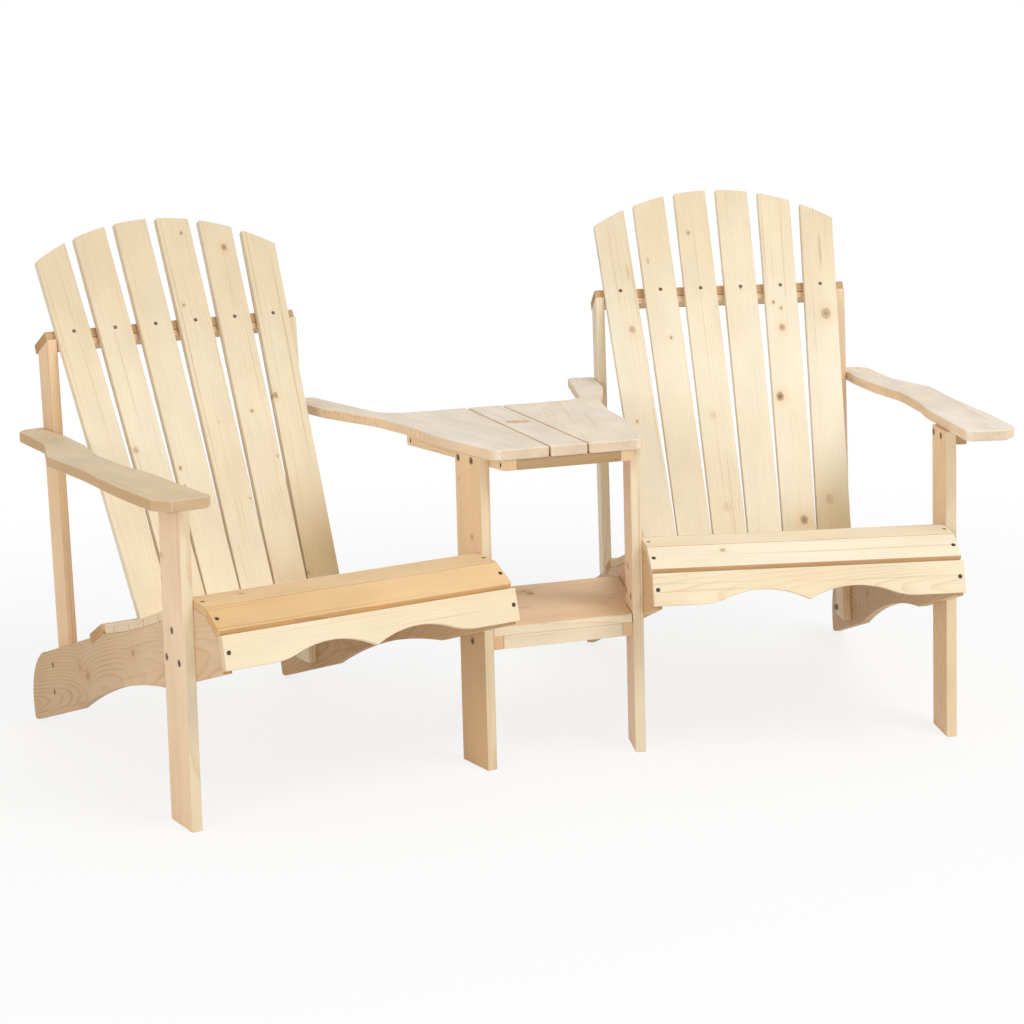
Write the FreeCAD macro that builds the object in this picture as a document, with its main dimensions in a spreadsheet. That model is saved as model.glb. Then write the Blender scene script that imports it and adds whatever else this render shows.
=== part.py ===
import FreeCAD, Part
import math
import os
import Sketcher

# Companion seat bench: two slatted garden chairs toed in towards a shared table
# and a lower shelf, both bored for a parasol pole.
#
# Row frame: +Z up, the chairs face -Y, X = 0 is the plane of symmetry and the
# origin is on the ground under the middle of the bench.
# Chair frame, used for the left chair: x is across the seat and grows towards
# the table, y is the depth behind the front faces of the front legs, z is up.
# The right chair is the mirror image of the left one.

V = FreeCAD.Vector

SIZES = [
    # layout of the bench
    ("chair_spread", 417.5, "plane of symmetry to a chair's centreline, at the leg fronts"),
    ("toe_in", 12.9, "angle of each chair towards the table"),
    ("seat_span", 550.0, "over the outer faces of a chair's side rails"),
    ("edge_round", 1.6, "easing of the arrises of the boards"),
    ("top_round", 2.8, "easing of the arms and the table boards"),
    # front legs
    ("leg_width", 87.0, "front to back"),
    ("leg_thickness", 19.0, "across"),
    ("leg_height", 561.0, "ground to the underside of the arms"),
    # side rails
    ("rail_thickness", 17.0, "across"),
    ("rail_width", 121.0, "square to its length"),
    ("rail_pitch", 18.0, "slope of its edges"),
    ("rail_foot_depth", 779.0, "where the lower edge reaches the ground"),
    ("rail_foot_flat", 12.0, "length that stands on the ground"),
    ("rail_heel_reach", 7.0, "bulge of the heel behind the foot"),
    ("rail_heel_height", 45.0, "height of the bulge"),
    ("rail_shoulder", 58.0, "length rounded off behind the top edge"),
    ("scoop_front", 125.0, "start of the hollow in the lower edge"),
    ("scoop_rear", 548.0, "end of that hollow"),
    ("scoop_rise", 20.0, "depth of that hollow"),
    ("dish_drop", 10.0, "hollow of the seat line"),
    # back rest
    ("recline", 27.5, "back slats from the vertical"),
    ("back_depth", 420.5, "front plane of the back slats, depth at back_level"),
    ("back_level", 300.0, "level where back_depth is measured"),
    ("back_slat_count", 6, "slats in a back"),
    ("back_slat_width", 66.0, "width of a back slat"),
    ("slat_thickness", 16.0, "thickness of the slats, apron and shelf"),
    ("fan_pitch", 69.6, "slat to slat at back_level"),
    ("fan_spread", 0.025, "growth of that pitch per length up the back"),
    ("crown_reach", 740.5, "up the back from back_level to the top of the arc"),
    ("crown_radius", 468.5, "arc that cuts the slat tops"),
    ("support_width", 68.0, "back supports, square to the slats"),
    ("support_thickness", 18.5, "back supports"),
    ("support_reach", 513.6, "up the back to the underside of the upper support"),
    ("support_fit", 0.5, "gap between a back support and its notch"),
    ("cleat_drop", 14.0, "batten under the upper support, its height"),
    # rear posts
    ("post_width", 57.0, "front to back"),
    ("post_thickness", 18.0, "across"),
    ("post_lead", 7.0, "top of the posts before the lower arris of the upper support"),
    ("post_lean", 3.0, "lean of the posts, their tops to the rear"),
    ("post_foot", 62.0, "level of their lower ends"),
    # seat
    ("seat_slat_width", 68.0, "width of a seat slat"),
    ("seat_slat_gap", 3.4, "gap between seat slats"),
    ("seat_slat_count", 6, "slats behind the brow slat, the last one narrower"),
    ("last_slat_width", 44.0, "width of the last one"),
    ("seat_fit", 0.1, "slats above the hollow of the rails"),
    ("side_fit", 0.3, "seat slats to the legs beside them"),
    ("brow_level", 387.0, "front arris of the brow slat"),
    ("brow_reach", 46.5, "its distance before the leg fronts"),
    ("brow_width", 58.0, "width of the brow slat"),
    ("brow_tilt", 4.0, "its slope down to the front"),
    ("nose_slope", 30.7, "slope of the nose slat"),
    ("nose_width", 57.0, "width of the nose slat"),
    ("nose_fit", 0.6, "gap between the nose slat and the brow slat"),
    ("apron_reach", 107.0, "top front arris of the apron before the leg fronts"),
    ("apron_level", 352.0, "level of that arris"),
    ("apron_lean", 14.5, "lean of the apron, its foot forward"),
    ("apron_depth", 57.0, "height of the apron at its ends"),
    ("apron_flat", 85.0, "straight lower edge at each end"),
    ("scallop_start", 150.0, "from the middle to the start of each scallop"),
    ("scallop_brow", 49.5, "depth of the apron there"),
    ("scallop_top", 35.5, "least depth of the apron"),
    ("scallop_point", 56.0, "depth at the middle point"),
    # arms and table boards
    ("arm_thickness", 19.0, "arms and table boards"),
    ("arm_front", 110.0, "front end before the leg fronts"),
    ("arm_rear_fit", 3.0, "rear end behind the posts"),
    ("arm_post_fit", 0.5, "arm beside its post"),
    ("arm_tail_width", 54.5, "width of the rear end of an arm"),
    ("arm_tail_growth", 10.0, "how much wider it is before its shoulder"),
    ("arm_waist", 289.0, "seat side of the arm at its middle, from the centreline"),
    ("arm_inside", 281.0, "seat side of the arm at the front"),
    ("table_inside", 274.0, "seat side of the table at its front"),
    ("arm_shoulder", 365.0, "outer side behind the paddle"),
    ("arm_outside", 375.0, "outer side of the paddle"),
    ("paddle_cut_across", 24.0, "outer corner cut of the paddle, across"),
    ("paddle_cut_back", 34.0, "the same, along"),
    ("paddle_ease", 10.0, "cut of its inner corner, both ways"),
    ("table_front", 16.0, "front edge of the table behind the chair axis crossing"),
    ("table_depth", 474.0, "front to back"),
    ("centre_board_width", 67.0, "middle board of the table"),
    ("table_gap", 3.8, "gap between table boards"),
    ("table_corner", 28.0, "rounding of the table's front corners"),
    ("table_cove", 60.0, "hollow corner between the table and its arm"),
    ("pole_radius", 22.5, "holes for a parasol pole"),
    ("pole_depth", 297.0, "their axis behind the same line as table_front"),
    # battens and shelf
    ("batten_thin", 19.0, "battens, thin side"),
    ("batten_wide", 24.0, "battens, wide side"),
    ("table_batten_end", 295.0, "rear end of the table battens"),
    ("table_strip_recess", 3.0, "cross strip behind the table's front edge"),
    ("arm_batten_length", 87.0, "batten under an outer arm"),
    ("shelf_level", 255.0, "top of the shelf"),
    ("shelf_front", 68.0, "front edge, from the same line as table_front"),
    ("shelf_rear", 357.0, "rear edge"),
    ("shelf_fit", 1.0, "shelf beside legs and rails"),
    ("cross_fit", 0.3, "cross strip between its battens"),
    # fasteners
    ("bolt_radius", 3.0, "shank"),
    ("bolt_head_radius", 5.2, "low round head"),
    ("bolt_head_height", 2.6, "of that head"),
    ("bolt_sink", 0.8, "head below the wood"),
    ("bolt_socket", 2.2, "half width of the hexagon socket"),
    ("nut_radius", 5.6, "over the corners"),
    ("nut_height", 5.0, "height of a nut"),
    ("washer_radius", 7.0, "washer under a nut"),
    ("washer_height", 1.2, "its thickness"),
    ("screw_radius", 2.0, "shank"),
    ("screw_head_radius", 3.9, "countersunk head"),
    ("screw_head_height", 2.4, "its depth"),
    ("screw_sink", 0.7, "head below the wood"),
    ("screw_length", 38.0, "whole length"),
    ("hole_fit", 0.1, "radial room round every fastener"),
]

doc = FreeCAD.newDocument("CompanionSeatBench")


class Dim:
    """A size with its number and the expression that gives it in the document."""

    def __init__(self, value, text):
        self.value = value
        self.text = text

    def join(self, other, value, sign):
        return Dim(value, f"({self.text} {sign} {other.text})")

    def __add__(self, other):
        other = dim(other)
        return self.join(other, self.value + other.value, "+")

    def __sub__(self, other):
        other = dim(other)
        return self.join(other, self.value - other.value, "-")

    def __mul__(self, other):
        other = dim(other)
        return self.join(other, self.value * other.value, "*")

    def __truediv__(self, other):
        other = dim(other)
        return self.join(other, self.value / other.value, "/")

    def __radd__(self, other):
        return dim(other) + self

    def __rsub__(self, other):
        return dim(other) - self

    def __rmul__(self, other):
        return dim(other) * self

    def __rtruediv__(self, other):
        return dim(other) / self

    def __neg__(self):
        return Dim(-self.value, f"(0 - {self.text})")


def dim(number):
    """Give a plain number, or a size, as a size."""
    if isinstance(number, Dim):
        return number
    return Dim(float(number), f"{float(number)}")


def sine(angle):
    return Dim(math.sin(math.radians(angle.value)), f"sin({angle.text})")


def cosine(angle):
    return Dim(math.cos(math.radians(angle.value)), f"cos({angle.text})")


def tangent(angle):
    return Dim(math.tan(math.radians(angle.value)), f"tan({angle.text})")


def root(number):
    return Dim(math.sqrt(number.value), f"sqrt({number.text})")


class Sizes:
    """The driving sizes, each one an attribute."""


def fill_sheet():
    """Write the driving sizes to the sheet, one alias for each number."""
    sheet = doc.addObject("Spreadsheet::Sheet", "Sizes")
    sizes = Sizes()
    for row, (alias, number, note) in enumerate(SIZES, start=1):
        sheet.set(f"A{row}", note)
        sheet.set(f"B{row}", f"{number}")
        sheet.setAlias(f"B{row}", alias)
        setattr(sizes, alias, Dim(float(number), f"Sizes.{alias}"))
    return sizes


S = fill_sheet()
layout = doc.addObject("Spreadsheet::Sheet", "Layout")
layout_rows = []


def named(alias, size):
    """Keep a worked-out size in the layout sheet and give it by its alias."""
    layout_rows.append(alias)
    cell = f"B{len(layout_rows)}"
    layout.set(f"A{len(layout_rows)}", alias)
    layout.set(cell, f"={size.text}")
    layout.setAlias(cell, alias)
    return Dim(size.value, f"Layout.{alias}")


# Worked-out sizes

half_span = named("half_span", S.seat_span / 2)
leg_outside = named("leg_outside", half_span + S.leg_thickness)
rail_inside = named("rail_inside", half_span - S.rail_thickness)
post_inside = named("post_inside", rail_inside - S.post_thickness)

rail_slope = named("rail_slope", tangent(S.rail_pitch))
rail_rise = named("rail_rise", S.rail_width / cosine(S.rail_pitch))

back_sine = named("back_sine", sine(S.recline))
back_cosine = named("back_cosine", cosine(S.recline))
slat = S.slat_thickness


def rail_low(depth):
    """Level of the rail's lower edge at a depth."""
    return (S.rail_foot_depth - depth) * rail_slope


def rail_high(depth):
    """Level of the rail's upper edge at a depth."""
    return rail_low(depth) + rail_rise


def back_point(up, behind):
    """Depth and level of a point up the back and behind the slats' front plane."""
    depth = S.back_depth + up * back_sine + behind * back_cosine
    level = S.back_level + up * back_cosine - behind * back_sine
    return depth, level


# The lower back support stands where the rear plane of the slats meets the
# upper edge of the rails.
support_low = named(
    "support_low",
    (
        (S.rail_foot_depth - S.back_depth - slat * back_cosine) * rail_slope
        + rail_rise
        - S.back_level
        + slat * back_sine
    )
    / (back_cosine + rail_slope * back_sine),
)
support_heel_y = named("support_heel_y", back_point(support_low, slat)[0])
support_heel_z = named("support_heel_z", back_point(support_low, slat)[1])

# The brow slat is the first one on the seat, tilted to the front. Its underside
# meets the upper edge of the rails where the hollow of the seat begins.
brow_slope = named("brow_slope", tangent(S.brow_tilt))
brow_under = named("brow_under", S.brow_level - slat / cosine(S.brow_tilt))
dish_front_y = named(
    "dish_front_y",
    (S.rail_foot_depth * rail_slope + rail_rise - brow_under - S.brow_reach * brow_slope)
    / (rail_slope + brow_slope),
)
dish_front_z = named("dish_front_z", rail_high(dish_front_y))
dish_run = named("dish_run", (support_heel_y - dish_front_y) / cosine(S.rail_pitch))

# The apron leans with its foot forward, and the rails end against it.
apron_sine = named("apron_sine", sine(S.apron_lean))
apron_cosine = named("apron_cosine", cosine(S.apron_lean))
apron_back_y = named("apron_back_y", slat * apron_cosine - S.apron_reach)
apron_back_z = named("apron_back_z", S.apron_level - slat * apron_sine)
apron_slope = named("apron_slope", tangent(S.apron_lean))

# The nose slat slopes down from the brow slat to the apron.
nose_slope = named("nose_slope", tangent(S.nose_slope))
nose_sine = named("nose_sine", sine(S.nose_slope))
nose_cosine = named("nose_cosine", cosine(S.nose_slope))
nose_start = named("nose_start", -(S.brow_reach + S.nose_fit))
nose_under = named("nose_under", S.brow_level - slat / nose_cosine)

rail_nose_z = named(
    "rail_nose_z",
    (nose_under + (apron_back_y - apron_back_z * apron_slope - nose_start) * nose_slope)
    / (1 - apron_slope * nose_slope),
)
rail_nose_y = named("rail_nose_y", apron_back_y - (apron_back_z - rail_nose_z) * apron_slope)
rail_toe_z = named(
    "rail_toe_z",
    (S.rail_foot_depth - apron_back_y + apron_back_z * apron_slope)
    * rail_slope
    / (1 + apron_slope * rail_slope),
)
rail_toe_y = named("rail_toe_y", apron_back_y - (apron_back_z - rail_toe_z) * apron_slope)

# The row's origin is under the middle of its box, from the outer arms' front
# corners to the heels of the inner rails.
toe_sine = named("toe_sine", sine(S.toe_in))
toe_cosine = named("toe_cosine", cosine(S.toe_in))
heel_depth = named("heel_depth", S.rail_foot_depth + S.rail_foot_flat + S.rail_heel_reach)
front_extent = named(
    "front_extent",
    (S.arm_outside - S.paddle_cut_across) * toe_sine + S.arm_front * toe_cosine,
)
rear_extent = named("rear_extent", half_span * toe_sine + heel_depth * toe_cosine)
setback = named("setback", (front_extent - rear_extent) / 2)

arm_tail = named("arm_tail", rail_inside + S.arm_post_fit)

# The posts lean to the rear and carry the upper back support on their sloping tops.
post_slope = named("post_slope", tangent(S.post_lean))
support_front_y = named("support_front_y", back_point(S.support_reach, slat)[0])
support_front_z = named("support_front_z", back_point(S.support_reach, slat)[1])


def post_front(height):
    """Depth of the posts' front face at a level."""
    return support_front_y - S.post_lead - (support_front_z - height) * post_slope


arm_rear = named(
    "arm_rear", post_front(S.leg_height + S.arm_thickness) + S.post_width + S.arm_rear_fit
)
table_edge = named("table_edge", S.centre_board_width / 2 + S.table_gap)
table_rear = named("table_rear", S.table_front + S.table_depth)


def depth_at(across, line):
    """Depth in the chair where a line across the bench crosses a line along it."""
    return (line - across * toe_sine) / toe_cosine


def chair_across(across, line):
    """Distance from the symmetry plane of the same crossing."""
    return S.chair_spread - across / toe_cosine + line * toe_sine / toe_cosine


# Drawing


class Corner:
    """A corner of an outline, with its rounding."""

    def __init__(self, across, along, rounding=0):
        self.x = dim(across)
        self.y = dim(along)
        self.rounding = dim(rounding)

    def point(self):
        return V(self.x.value, self.y.value, 0)


class Via(Corner):
    """A point that the arc between two corners passes through."""


def arc_through(start, middle, end):
    """The arc through three points, turned so that it runs anticlockwise."""
    circle = Part.Arc(start, middle, end).toShape().Curve
    centre = circle.Center
    turn = (middle - start).cross(end - middle).z
    first, last = (start, end) if turn > 0 else (end, start)
    low = math.atan2(first.y - centre.y, first.x - centre.x)
    high = math.atan2(last.y - centre.y, last.x - centre.x)
    if high <= low:
        high += 2 * math.pi
    arc = Part.ArcOfCircle(Part.Circle(centre, V(0, 0, 1), circle.Radius), low, high)
    return arc, turn > 0


def rounded(before, corner, after):
    """Start, middle and end of the arc that rounds a corner."""
    here = corner.point()
    back = (before.point() - here).normalize()
    on = (after.point() - here).normalize()
    half = back.getAngle(on) / 2
    radius = corner.rounding.value
    bisector = (back + on).normalize()
    cut = radius / math.tan(half)
    middle = here + bisector * (radius / math.sin(half) - radius)
    return here + back * cut, middle, here + on * cut


class Drawing:
    """A sketch whose corners and radii follow the sheets."""

    def __init__(self, sketch):
        self.sketch = sketch
        self.bound = []

    def constrain(self, *terms):
        return self.sketch.addConstraint(Sketcher.Constraint(*terms))

    def fix(self, shape, end, corner):
        """Hold a point at the corner's place."""
        for kind, size in (("DistanceX", corner.x), ("DistanceY", corner.y)):
            index = self.constrain(kind, -1, 1, shape, end, size.value)
            self.bound.append((index, size))

    def mark(self, corner):
        """A construction point at a corner or a via point."""
        shape = self.sketch.addGeometry(Part.Point(corner.point()), True)
        self.fix(shape, 1, corner)
        return shape

    def circle(self, corner, radius):
        ring = Part.Circle(corner.point(), V(0, 0, 1), radius.value)
        shape = self.sketch.addGeometry(ring, False)
        self.fix(shape, 3, corner)
        index = self.constrain("Radius", shape, radius.value)
        self.bound.append((index, radius))

    def outline(self, path):
        """Draw a closed outline of corners, with arcs where a via stands."""
        corners = [item for item in path if not isinstance(item, Via)]
        vias = {}
        for place, item in enumerate(path):
            if isinstance(item, Via):
                vias[id(path[place - 1])] = item
        count = len(corners)
        ends = []
        for place, corner in enumerate(corners):
            if corner.rounding.value > 0:
                before = corners[place - 1]
                after = corners[(place + 1) % count]
                start, middle, end = rounded(before, corner, after)
                arc, forward = arc_through(start, middle, end)
                shape = self.sketch.addGeometry(arc, False)
                index = self.constrain("Radius", shape, corner.rounding.value)
                self.bound.append((index, corner.rounding))
                ends.append((shape, 1 if forward else 2, 2 if forward else 1, start, end))
            else:
                ends.append((None, 0, 0, corner.point(), corner.point()))
        sides = []
        for place, corner in enumerate(corners):
            after = (place + 1) % count
            start = ends[place][4]
            end = ends[after][3]
            via = vias.get(id(corner))
            if via is None:
                shape = self.sketch.addGeometry(Part.LineSegment(start, end), False)
                sides.append((shape, 1, 2))
            else:
                arc, forward = arc_through(start, via.point(), end)
                shape = self.sketch.addGeometry(arc, False)
                sides.append((shape, 1 if forward else 2, 2 if forward else 1))
                self.constrain("PointOnObject", self.mark(via), 1, shape)
        for place, corner in enumerate(corners):
            arriving = sides[place - 1]
            leaving = sides[place]
            shape, first, last, _, _ = ends[place]
            if shape is None:
                self.constrain("Coincident", arriving[0], arriving[2], leaving[0], leaving[1])
                self.fix(leaving[0], leaving[1], corner)
            else:
                self.constrain("Tangent", arriving[0], arriving[2], shape, first)
                self.constrain("Tangent", shape, last, leaving[0], leaving[1])
                point = self.mark(corner)
                self.constrain("PointOnObject", point, 1, arriving[0])
                self.constrain("PointOnObject", point, 1, leaving[0])

    def bind(self):
        """Tie every dimension of the sketch to the sheets."""
        for index, size in self.bound:
            self.sketch.setExpression(f"Constraints[{index}]", size.text)


class Stand:
    """Where a sketch stands: an origin plane, a shift and a turn in that plane."""

    def __init__(self, plane, shift, axis=None, angle=None):
        self.plane = plane
        self.shift = [dim(part) for part in shift]
        self.axis = axis
        self.angle = angle


def attach(sketch, body, stand):
    plane = next(
        feature for feature in body.Origin.OriginFeatures if feature.Role == stand.plane
    )
    sketch.AttachmentSupport = [(plane, "")]
    sketch.MapMode = "FlatFace"
    turn = FreeCAD.Rotation()
    if stand.axis is not None:
        turn = FreeCAD.Rotation(stand.axis, stand.angle.value)
    shift = V(*[part.value for part in stand.shift])
    sketch.AttachmentOffset = FreeCAD.Placement(shift, turn)
    for name, part in zip("xyz", stand.shift):
        sketch.setExpression(f"AttachmentOffset.Base.{name}", part.text)
    if stand.axis is not None:
        sketch.setExpression("AttachmentOffset.Rotation.Angle", stand.angle.text)


def board(label, path, thickness, stand, in_chair=True, holes=(), reverse=False, ease=None):
    """A board: an outline padded to its thickness, with its arrises eased."""
    ease = ease or S.edge_round
    body = doc.addObject("PartDesign::Body", f"{label}_board")
    sketch = body.newObject("Sketcher::SketchObject", f"{label}_outline")
    attach(sketch, body, stand)
    drawing = Drawing(sketch)
    drawing.outline(path)
    for centre, radius in holes:
        drawing.circle(centre, radius)
    drawing.bind()
    pad = body.newObject("PartDesign::Pad", f"{label}_pad")
    pad.Profile = sketch
    pad.setExpression("Length", thickness.text)
    pad.Length = thickness.value
    pad.Reversed = reverse
    easing = body.newObject("PartDesign::Fillet", f"{label}_easing")
    easing.Base = (pad, [""])
    easing.UseAllEdges = True
    easing.Radius = ease.value
    easing.setExpression("Radius", ease.text)
    body.Tip = easing
    if in_chair:
        body.Placement = FreeCAD.Placement(
            V(-S.chair_spread.value, setback.value, 0),
            FreeCAD.Rotation(V(0, 0, 1), S.toe_in.value),
        )
        body.setExpression("Placement.Base.x", (-S.chair_spread).text)
        body.setExpression("Placement.Base.y", setback.text)
        body.setExpression("Placement.Rotation.Angle", S.toe_in.text)
    else:
        body.Placement = FreeCAD.Placement(V(0, setback.value, 0), FreeCAD.Rotation())
        body.setExpression("Placement.Base.y", setback.text)
    return body


def rectangle(low_x, low_y, high_x, high_y):
    return [
        Corner(low_x, low_y),
        Corner(high_x, low_y),
        Corner(high_x, high_y),
        Corner(low_x, high_y),
    ]


def level(height):
    """A stand on the ground plane, lifted to a height."""
    return Stand("XY_Plane", (0, 0, height))


def side(across):
    """A stand in the chair's side view, shifted across the seat."""
    return Stand("YZ_Plane", (0, 0, across))


def back_side(across):
    """A side-view stand in the back's own axes: x behind the slats, y up them."""
    shift = (S.back_depth, S.back_level, across)
    return Stand("YZ_Plane", shift, V(0, 0, 1), -S.recline)


def seat_side(across):
    """A side-view stand along the chord of the seat's hollow."""
    return Stand("YZ_Plane", (dish_front_y, dish_front_z, across), V(0, 0, 1), -S.rail_pitch)


# Fasteners, each one made once along +Z and set by its head


def hexagon(radius, height):
    ring = [V(radius, 0, 0)]
    for step in range(1, 7):
        angle = math.radians(60 * step)
        ring.append(V(radius * math.cos(angle), radius * math.sin(angle), 0))
    return Part.Face(Part.makePolygon(ring)).extrude(V(0, 0, height))


def turned(points):
    """A solid of revolution about Z from its half profile of radius and height."""
    wire = Part.makePolygon([V(radius, 0, height) for radius, height in points])
    return Part.Face(wire).revolve(V(0, 0, 0), V(0, 0, 1), 360)


def bolt_shape(length):
    """A low-headed bolt with a hexagon socket, its head at the top."""
    head = S.bolt_head_radius.value
    height = S.bolt_head_height.value
    rim = height * 0.45
    shank = S.bolt_radius.value
    profile = [
        (0, 0),
        (head * 0.55, 0),
        (head, -rim),
        (head, -height),
        (shank, -height),
        (shank, -length),
        (0, -length),
        (0, 0),
    ]
    socket = hexagon(S.bolt_socket.value, height)
    socket.translate(V(0, 0, -height * 0.7))
    return turned(profile).cut(socket)


def screw_shape(length):
    """A countersunk screw with a cross recess, its head at the top."""
    head = S.screw_head_radius.value
    height = S.screw_head_height.value
    shank = S.screw_radius.value
    point = shank * 2
    profile = [
        (0, 0),
        (head, 0),
        (shank, -height),
        (shank, point - length),
        (0, -length),
        (0, 0),
    ]
    arm_length = head * 1.1
    arm_width = head * 0.26
    depth = height * 0.55
    cross = Part.makeBox(arm_length, arm_width, depth, V(-arm_length / 2, -arm_width / 2, -depth))
    other = Part.makeBox(arm_width, arm_length, depth, V(-arm_width / 2, -arm_length / 2, -depth))
    return turned(profile).cut(cross.fuse(other))


def nut_shape():
    """A nut on a washer, seated at the origin and standing up."""
    bore = S.bolt_radius.value + S.hole_fit.value
    washer_height = S.washer_height.value
    whole = washer_height + S.nut_height.value
    nut = hexagon(S.nut_radius.value, S.nut_height.value)
    nut.translate(V(0, 0, washer_height))
    stack = Part.makeCylinder(S.washer_radius.value, washer_height).fuse(nut)
    return stack.cut(Part.makeCylinder(bore, whole))


def bolt_cutter(length):
    """The hole for a bolt: its bore and the pocket for its head."""
    fit = S.hole_fit.value
    pocket = S.bolt_sink.value + S.bolt_head_height.value
    bore = Part.makeCylinder(S.bolt_radius.value + fit, length + fit, V(0, 0, -length - fit))
    open_end = Part.makeCylinder(S.bolt_head_radius.value + 3 * fit, pocket + fit)
    open_end.translate(V(0, 0, -S.bolt_head_height.value - fit))
    return bore.fuse(open_end)


def screw_cutter(length):
    """The hole for a screw: its bore and its countersink."""
    fit = S.hole_fit.value
    head = S.screw_head_radius.value + fit
    height = S.screw_head_height.value
    shank = S.screw_radius.value + fit
    sink = S.screw_sink.value
    profile = [
        (0, sink + fit),
        (head, sink + fit),
        (head, -fit),
        (shank, -height - fit),
        (shank, -length - fit),
        (0, -length - fit),
        (0, sink + fit),
    ]
    return turned(profile)


class Fastener:
    """One bolt or screw: where its head is, the way it points and its kind."""

    def __init__(self, head, along, length, kind="screw", grip=None):
        self.head = head
        self.along = V(along).normalize()
        self.length = length
        self.kind = kind
        self.grip = grip

    def sink(self):
        return S.bolt_sink.value if self.kind == "bolt" else S.screw_sink.value

    def place(self, shape):
        turn = FreeCAD.Rotation(V(0, 0, -1), self.along)
        copy = shape.copy()
        copy.Placement = FreeCAD.Placement(self.head + self.along * self.sink(), turn)
        return copy

    def solids(self):
        shape = bolt_shape(self.length) if self.kind == "bolt" else screw_shape(self.length)
        found = [self.place(shape)]
        if self.grip is not None:
            nut = nut_shape()
            turn = FreeCAD.Rotation(V(0, 0, 1), self.along)
            nut.Placement = FreeCAD.Placement(self.head + self.along * self.grip, turn)
            found.append(nut)
        return found

    def cutter(self):
        maker = bolt_cutter if self.kind == "bolt" else screw_cutter
        return self.place(maker(self.length))


chair_place = FreeCAD.Placement(
    V(-S.chair_spread.value, setback.value, 0),
    FreeCAD.Rotation(V(0, 0, 1), S.toe_in.value),
)
bench_place = FreeCAD.Placement(V(0, setback.value, 0), FreeCAD.Rotation())


def placed(shapes, place):
    """Copies of the shapes, moved from the chair or the bench to the row's frame."""
    moved = []
    for shape in shapes:
        copy = shape.copy()
        copy.Placement = place.multiply(shape.Placement)
        moved.append(copy)
    return moved


def side_point(across, depth, height):
    return V(dim(across).value, dim(depth).value, dim(height).value)


# Fasteners of one chair

chair_bolts = []
chair_screws = []
nut_grip = S.leg_thickness.value + S.rail_thickness.value
nut_stack = S.washer_height.value + S.nut_height.value
leg_bolt_places = ((0.575, 331), (0.87, 281), (0.28, 281))
leg_top_level = S.leg_height.value - S.batten_wide.value / 2
leg_top_places = (0.36, 0.88)
post_bolt_levels = (130, 78)
arm_middle_level = S.leg_height + S.arm_thickness / 2

for hand in (-1, 1):
    inward = V(-hand, 0, 0)
    outward = V(hand, 0, 0)
    for share, height in leg_bolt_places:
        head = side_point(hand * leg_outside.value, S.leg_width * share, height)
        chair_bolts.append(Fastener(head, inward, nut_grip + nut_stack, "bolt", nut_grip))
    reach = S.leg_thickness.value + S.batten_thin.value - 4
    for share in leg_top_places:
        table_level = S.leg_height.value - S.batten_thin.value / 2
        height = leg_top_level if hand < 0 else table_level
        head = side_point(hand * half_span.value, S.leg_width * share, height)
        chair_bolts.append(Fastener(head, outward, reach, "bolt"))
    grip = S.rail_thickness.value + S.post_thickness.value
    for height in post_bolt_levels:
        bolt_depth = post_front(dim(height)) + S.post_width * 0.83
        head = side_point(hand * half_span.value, bolt_depth, height)
        chair_bolts.append(Fastener(head, inward, grip + nut_stack, "bolt", grip))
    bolt_depth = post_front(arm_middle_level) + S.post_width / 2
    head = side_point(hand * post_inside.value, bolt_depth, arm_middle_level)
    chair_bolts.append(Fastener(head, outward, S.post_thickness.value + 42, "bolt"))

shelf_batten_level = S.shelf_level - slat - S.batten_wide / 2
head = side_point(half_span.value, S.leg_width / 2, shelf_batten_level)
chair_bolts.append(Fastener(head, V(1, 0, 0), S.leg_thickness.value + 15, "bolt"))

behind = V(0, back_cosine.value, -back_sine.value)
up_back = V(0, back_sine.value, back_cosine.value)
support_middle = S.support_reach + S.support_thickness / 2
lower_middle = support_low + S.support_thickness / 2


def slat_centre(number, up):
    """Across position of a back slat's middle line, some way up the back."""
    step = number - (S.back_slat_count - 1) / 2
    return step * (S.fan_pitch + S.fan_spread * up)


for number in range(int(S.back_slat_count.value)):
    for up in (lower_middle, support_middle):
        depth, height = back_point(up, dim(0))
        head = side_point(slat_centre(number, up), depth, height)
        chair_screws.append(Fastener(head, behind, S.screw_length.value))

for hand in (-1, 1):
    edge = slat + S.support_width * 0.45
    depth, height = back_point(S.support_reach + S.support_thickness, edge)
    middle = (post_inside + rail_inside) / 2
    head = side_point(middle * hand, depth, height)
    chair_screws.append(Fastener(head, up_back * -1, S.screw_length.value))
    depth, height = back_point(support_low + S.support_thickness, edge)
    middle = (half_span + rail_inside) / 2
    head = side_point(middle * hand, depth, height)
    chair_screws.append(Fastener(head, up_back * -1, S.screw_length.value))


def dish(run):
    """Level of the seat's hollow below its chord, some way along the chord."""
    return -4 * S.dish_drop * run * (dish_run - run) / (dish_run * dish_run)


def seat_slat_span(number):
    """Start and end of a seat slat along the chord."""
    start = S.seat_slat_gap + number * (S.seat_slat_width + S.seat_slat_gap)
    last = number == int(S.seat_slat_count.value) - 1
    width = S.last_slat_width if last else S.seat_slat_width
    return start, start + width


def seat_slat_corners(number):
    """Section of a seat slat: a rectangle on the chord of its own part of the hollow."""
    start, end = seat_slat_span(number)
    prefix = f"seat_{number + 1}"
    low = named(f"{prefix}_low", dish(start) + S.seat_fit)
    high = named(f"{prefix}_high", dish(end) + S.seat_fit)
    length = named(f"{prefix}_length", root((end - start) * (end - start) + (high - low) * (high - low)))
    lean_x = named(f"{prefix}_lean_x", (low - high) * slat / length)
    lean_y = named(f"{prefix}_lean_y", (end - start) * slat / length)
    return [
        Corner(start, low),
        Corner(end, high),
        Corner(end + lean_x, high + lean_y),
        Corner(start + lean_x, low + lean_y),
    ]


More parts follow.
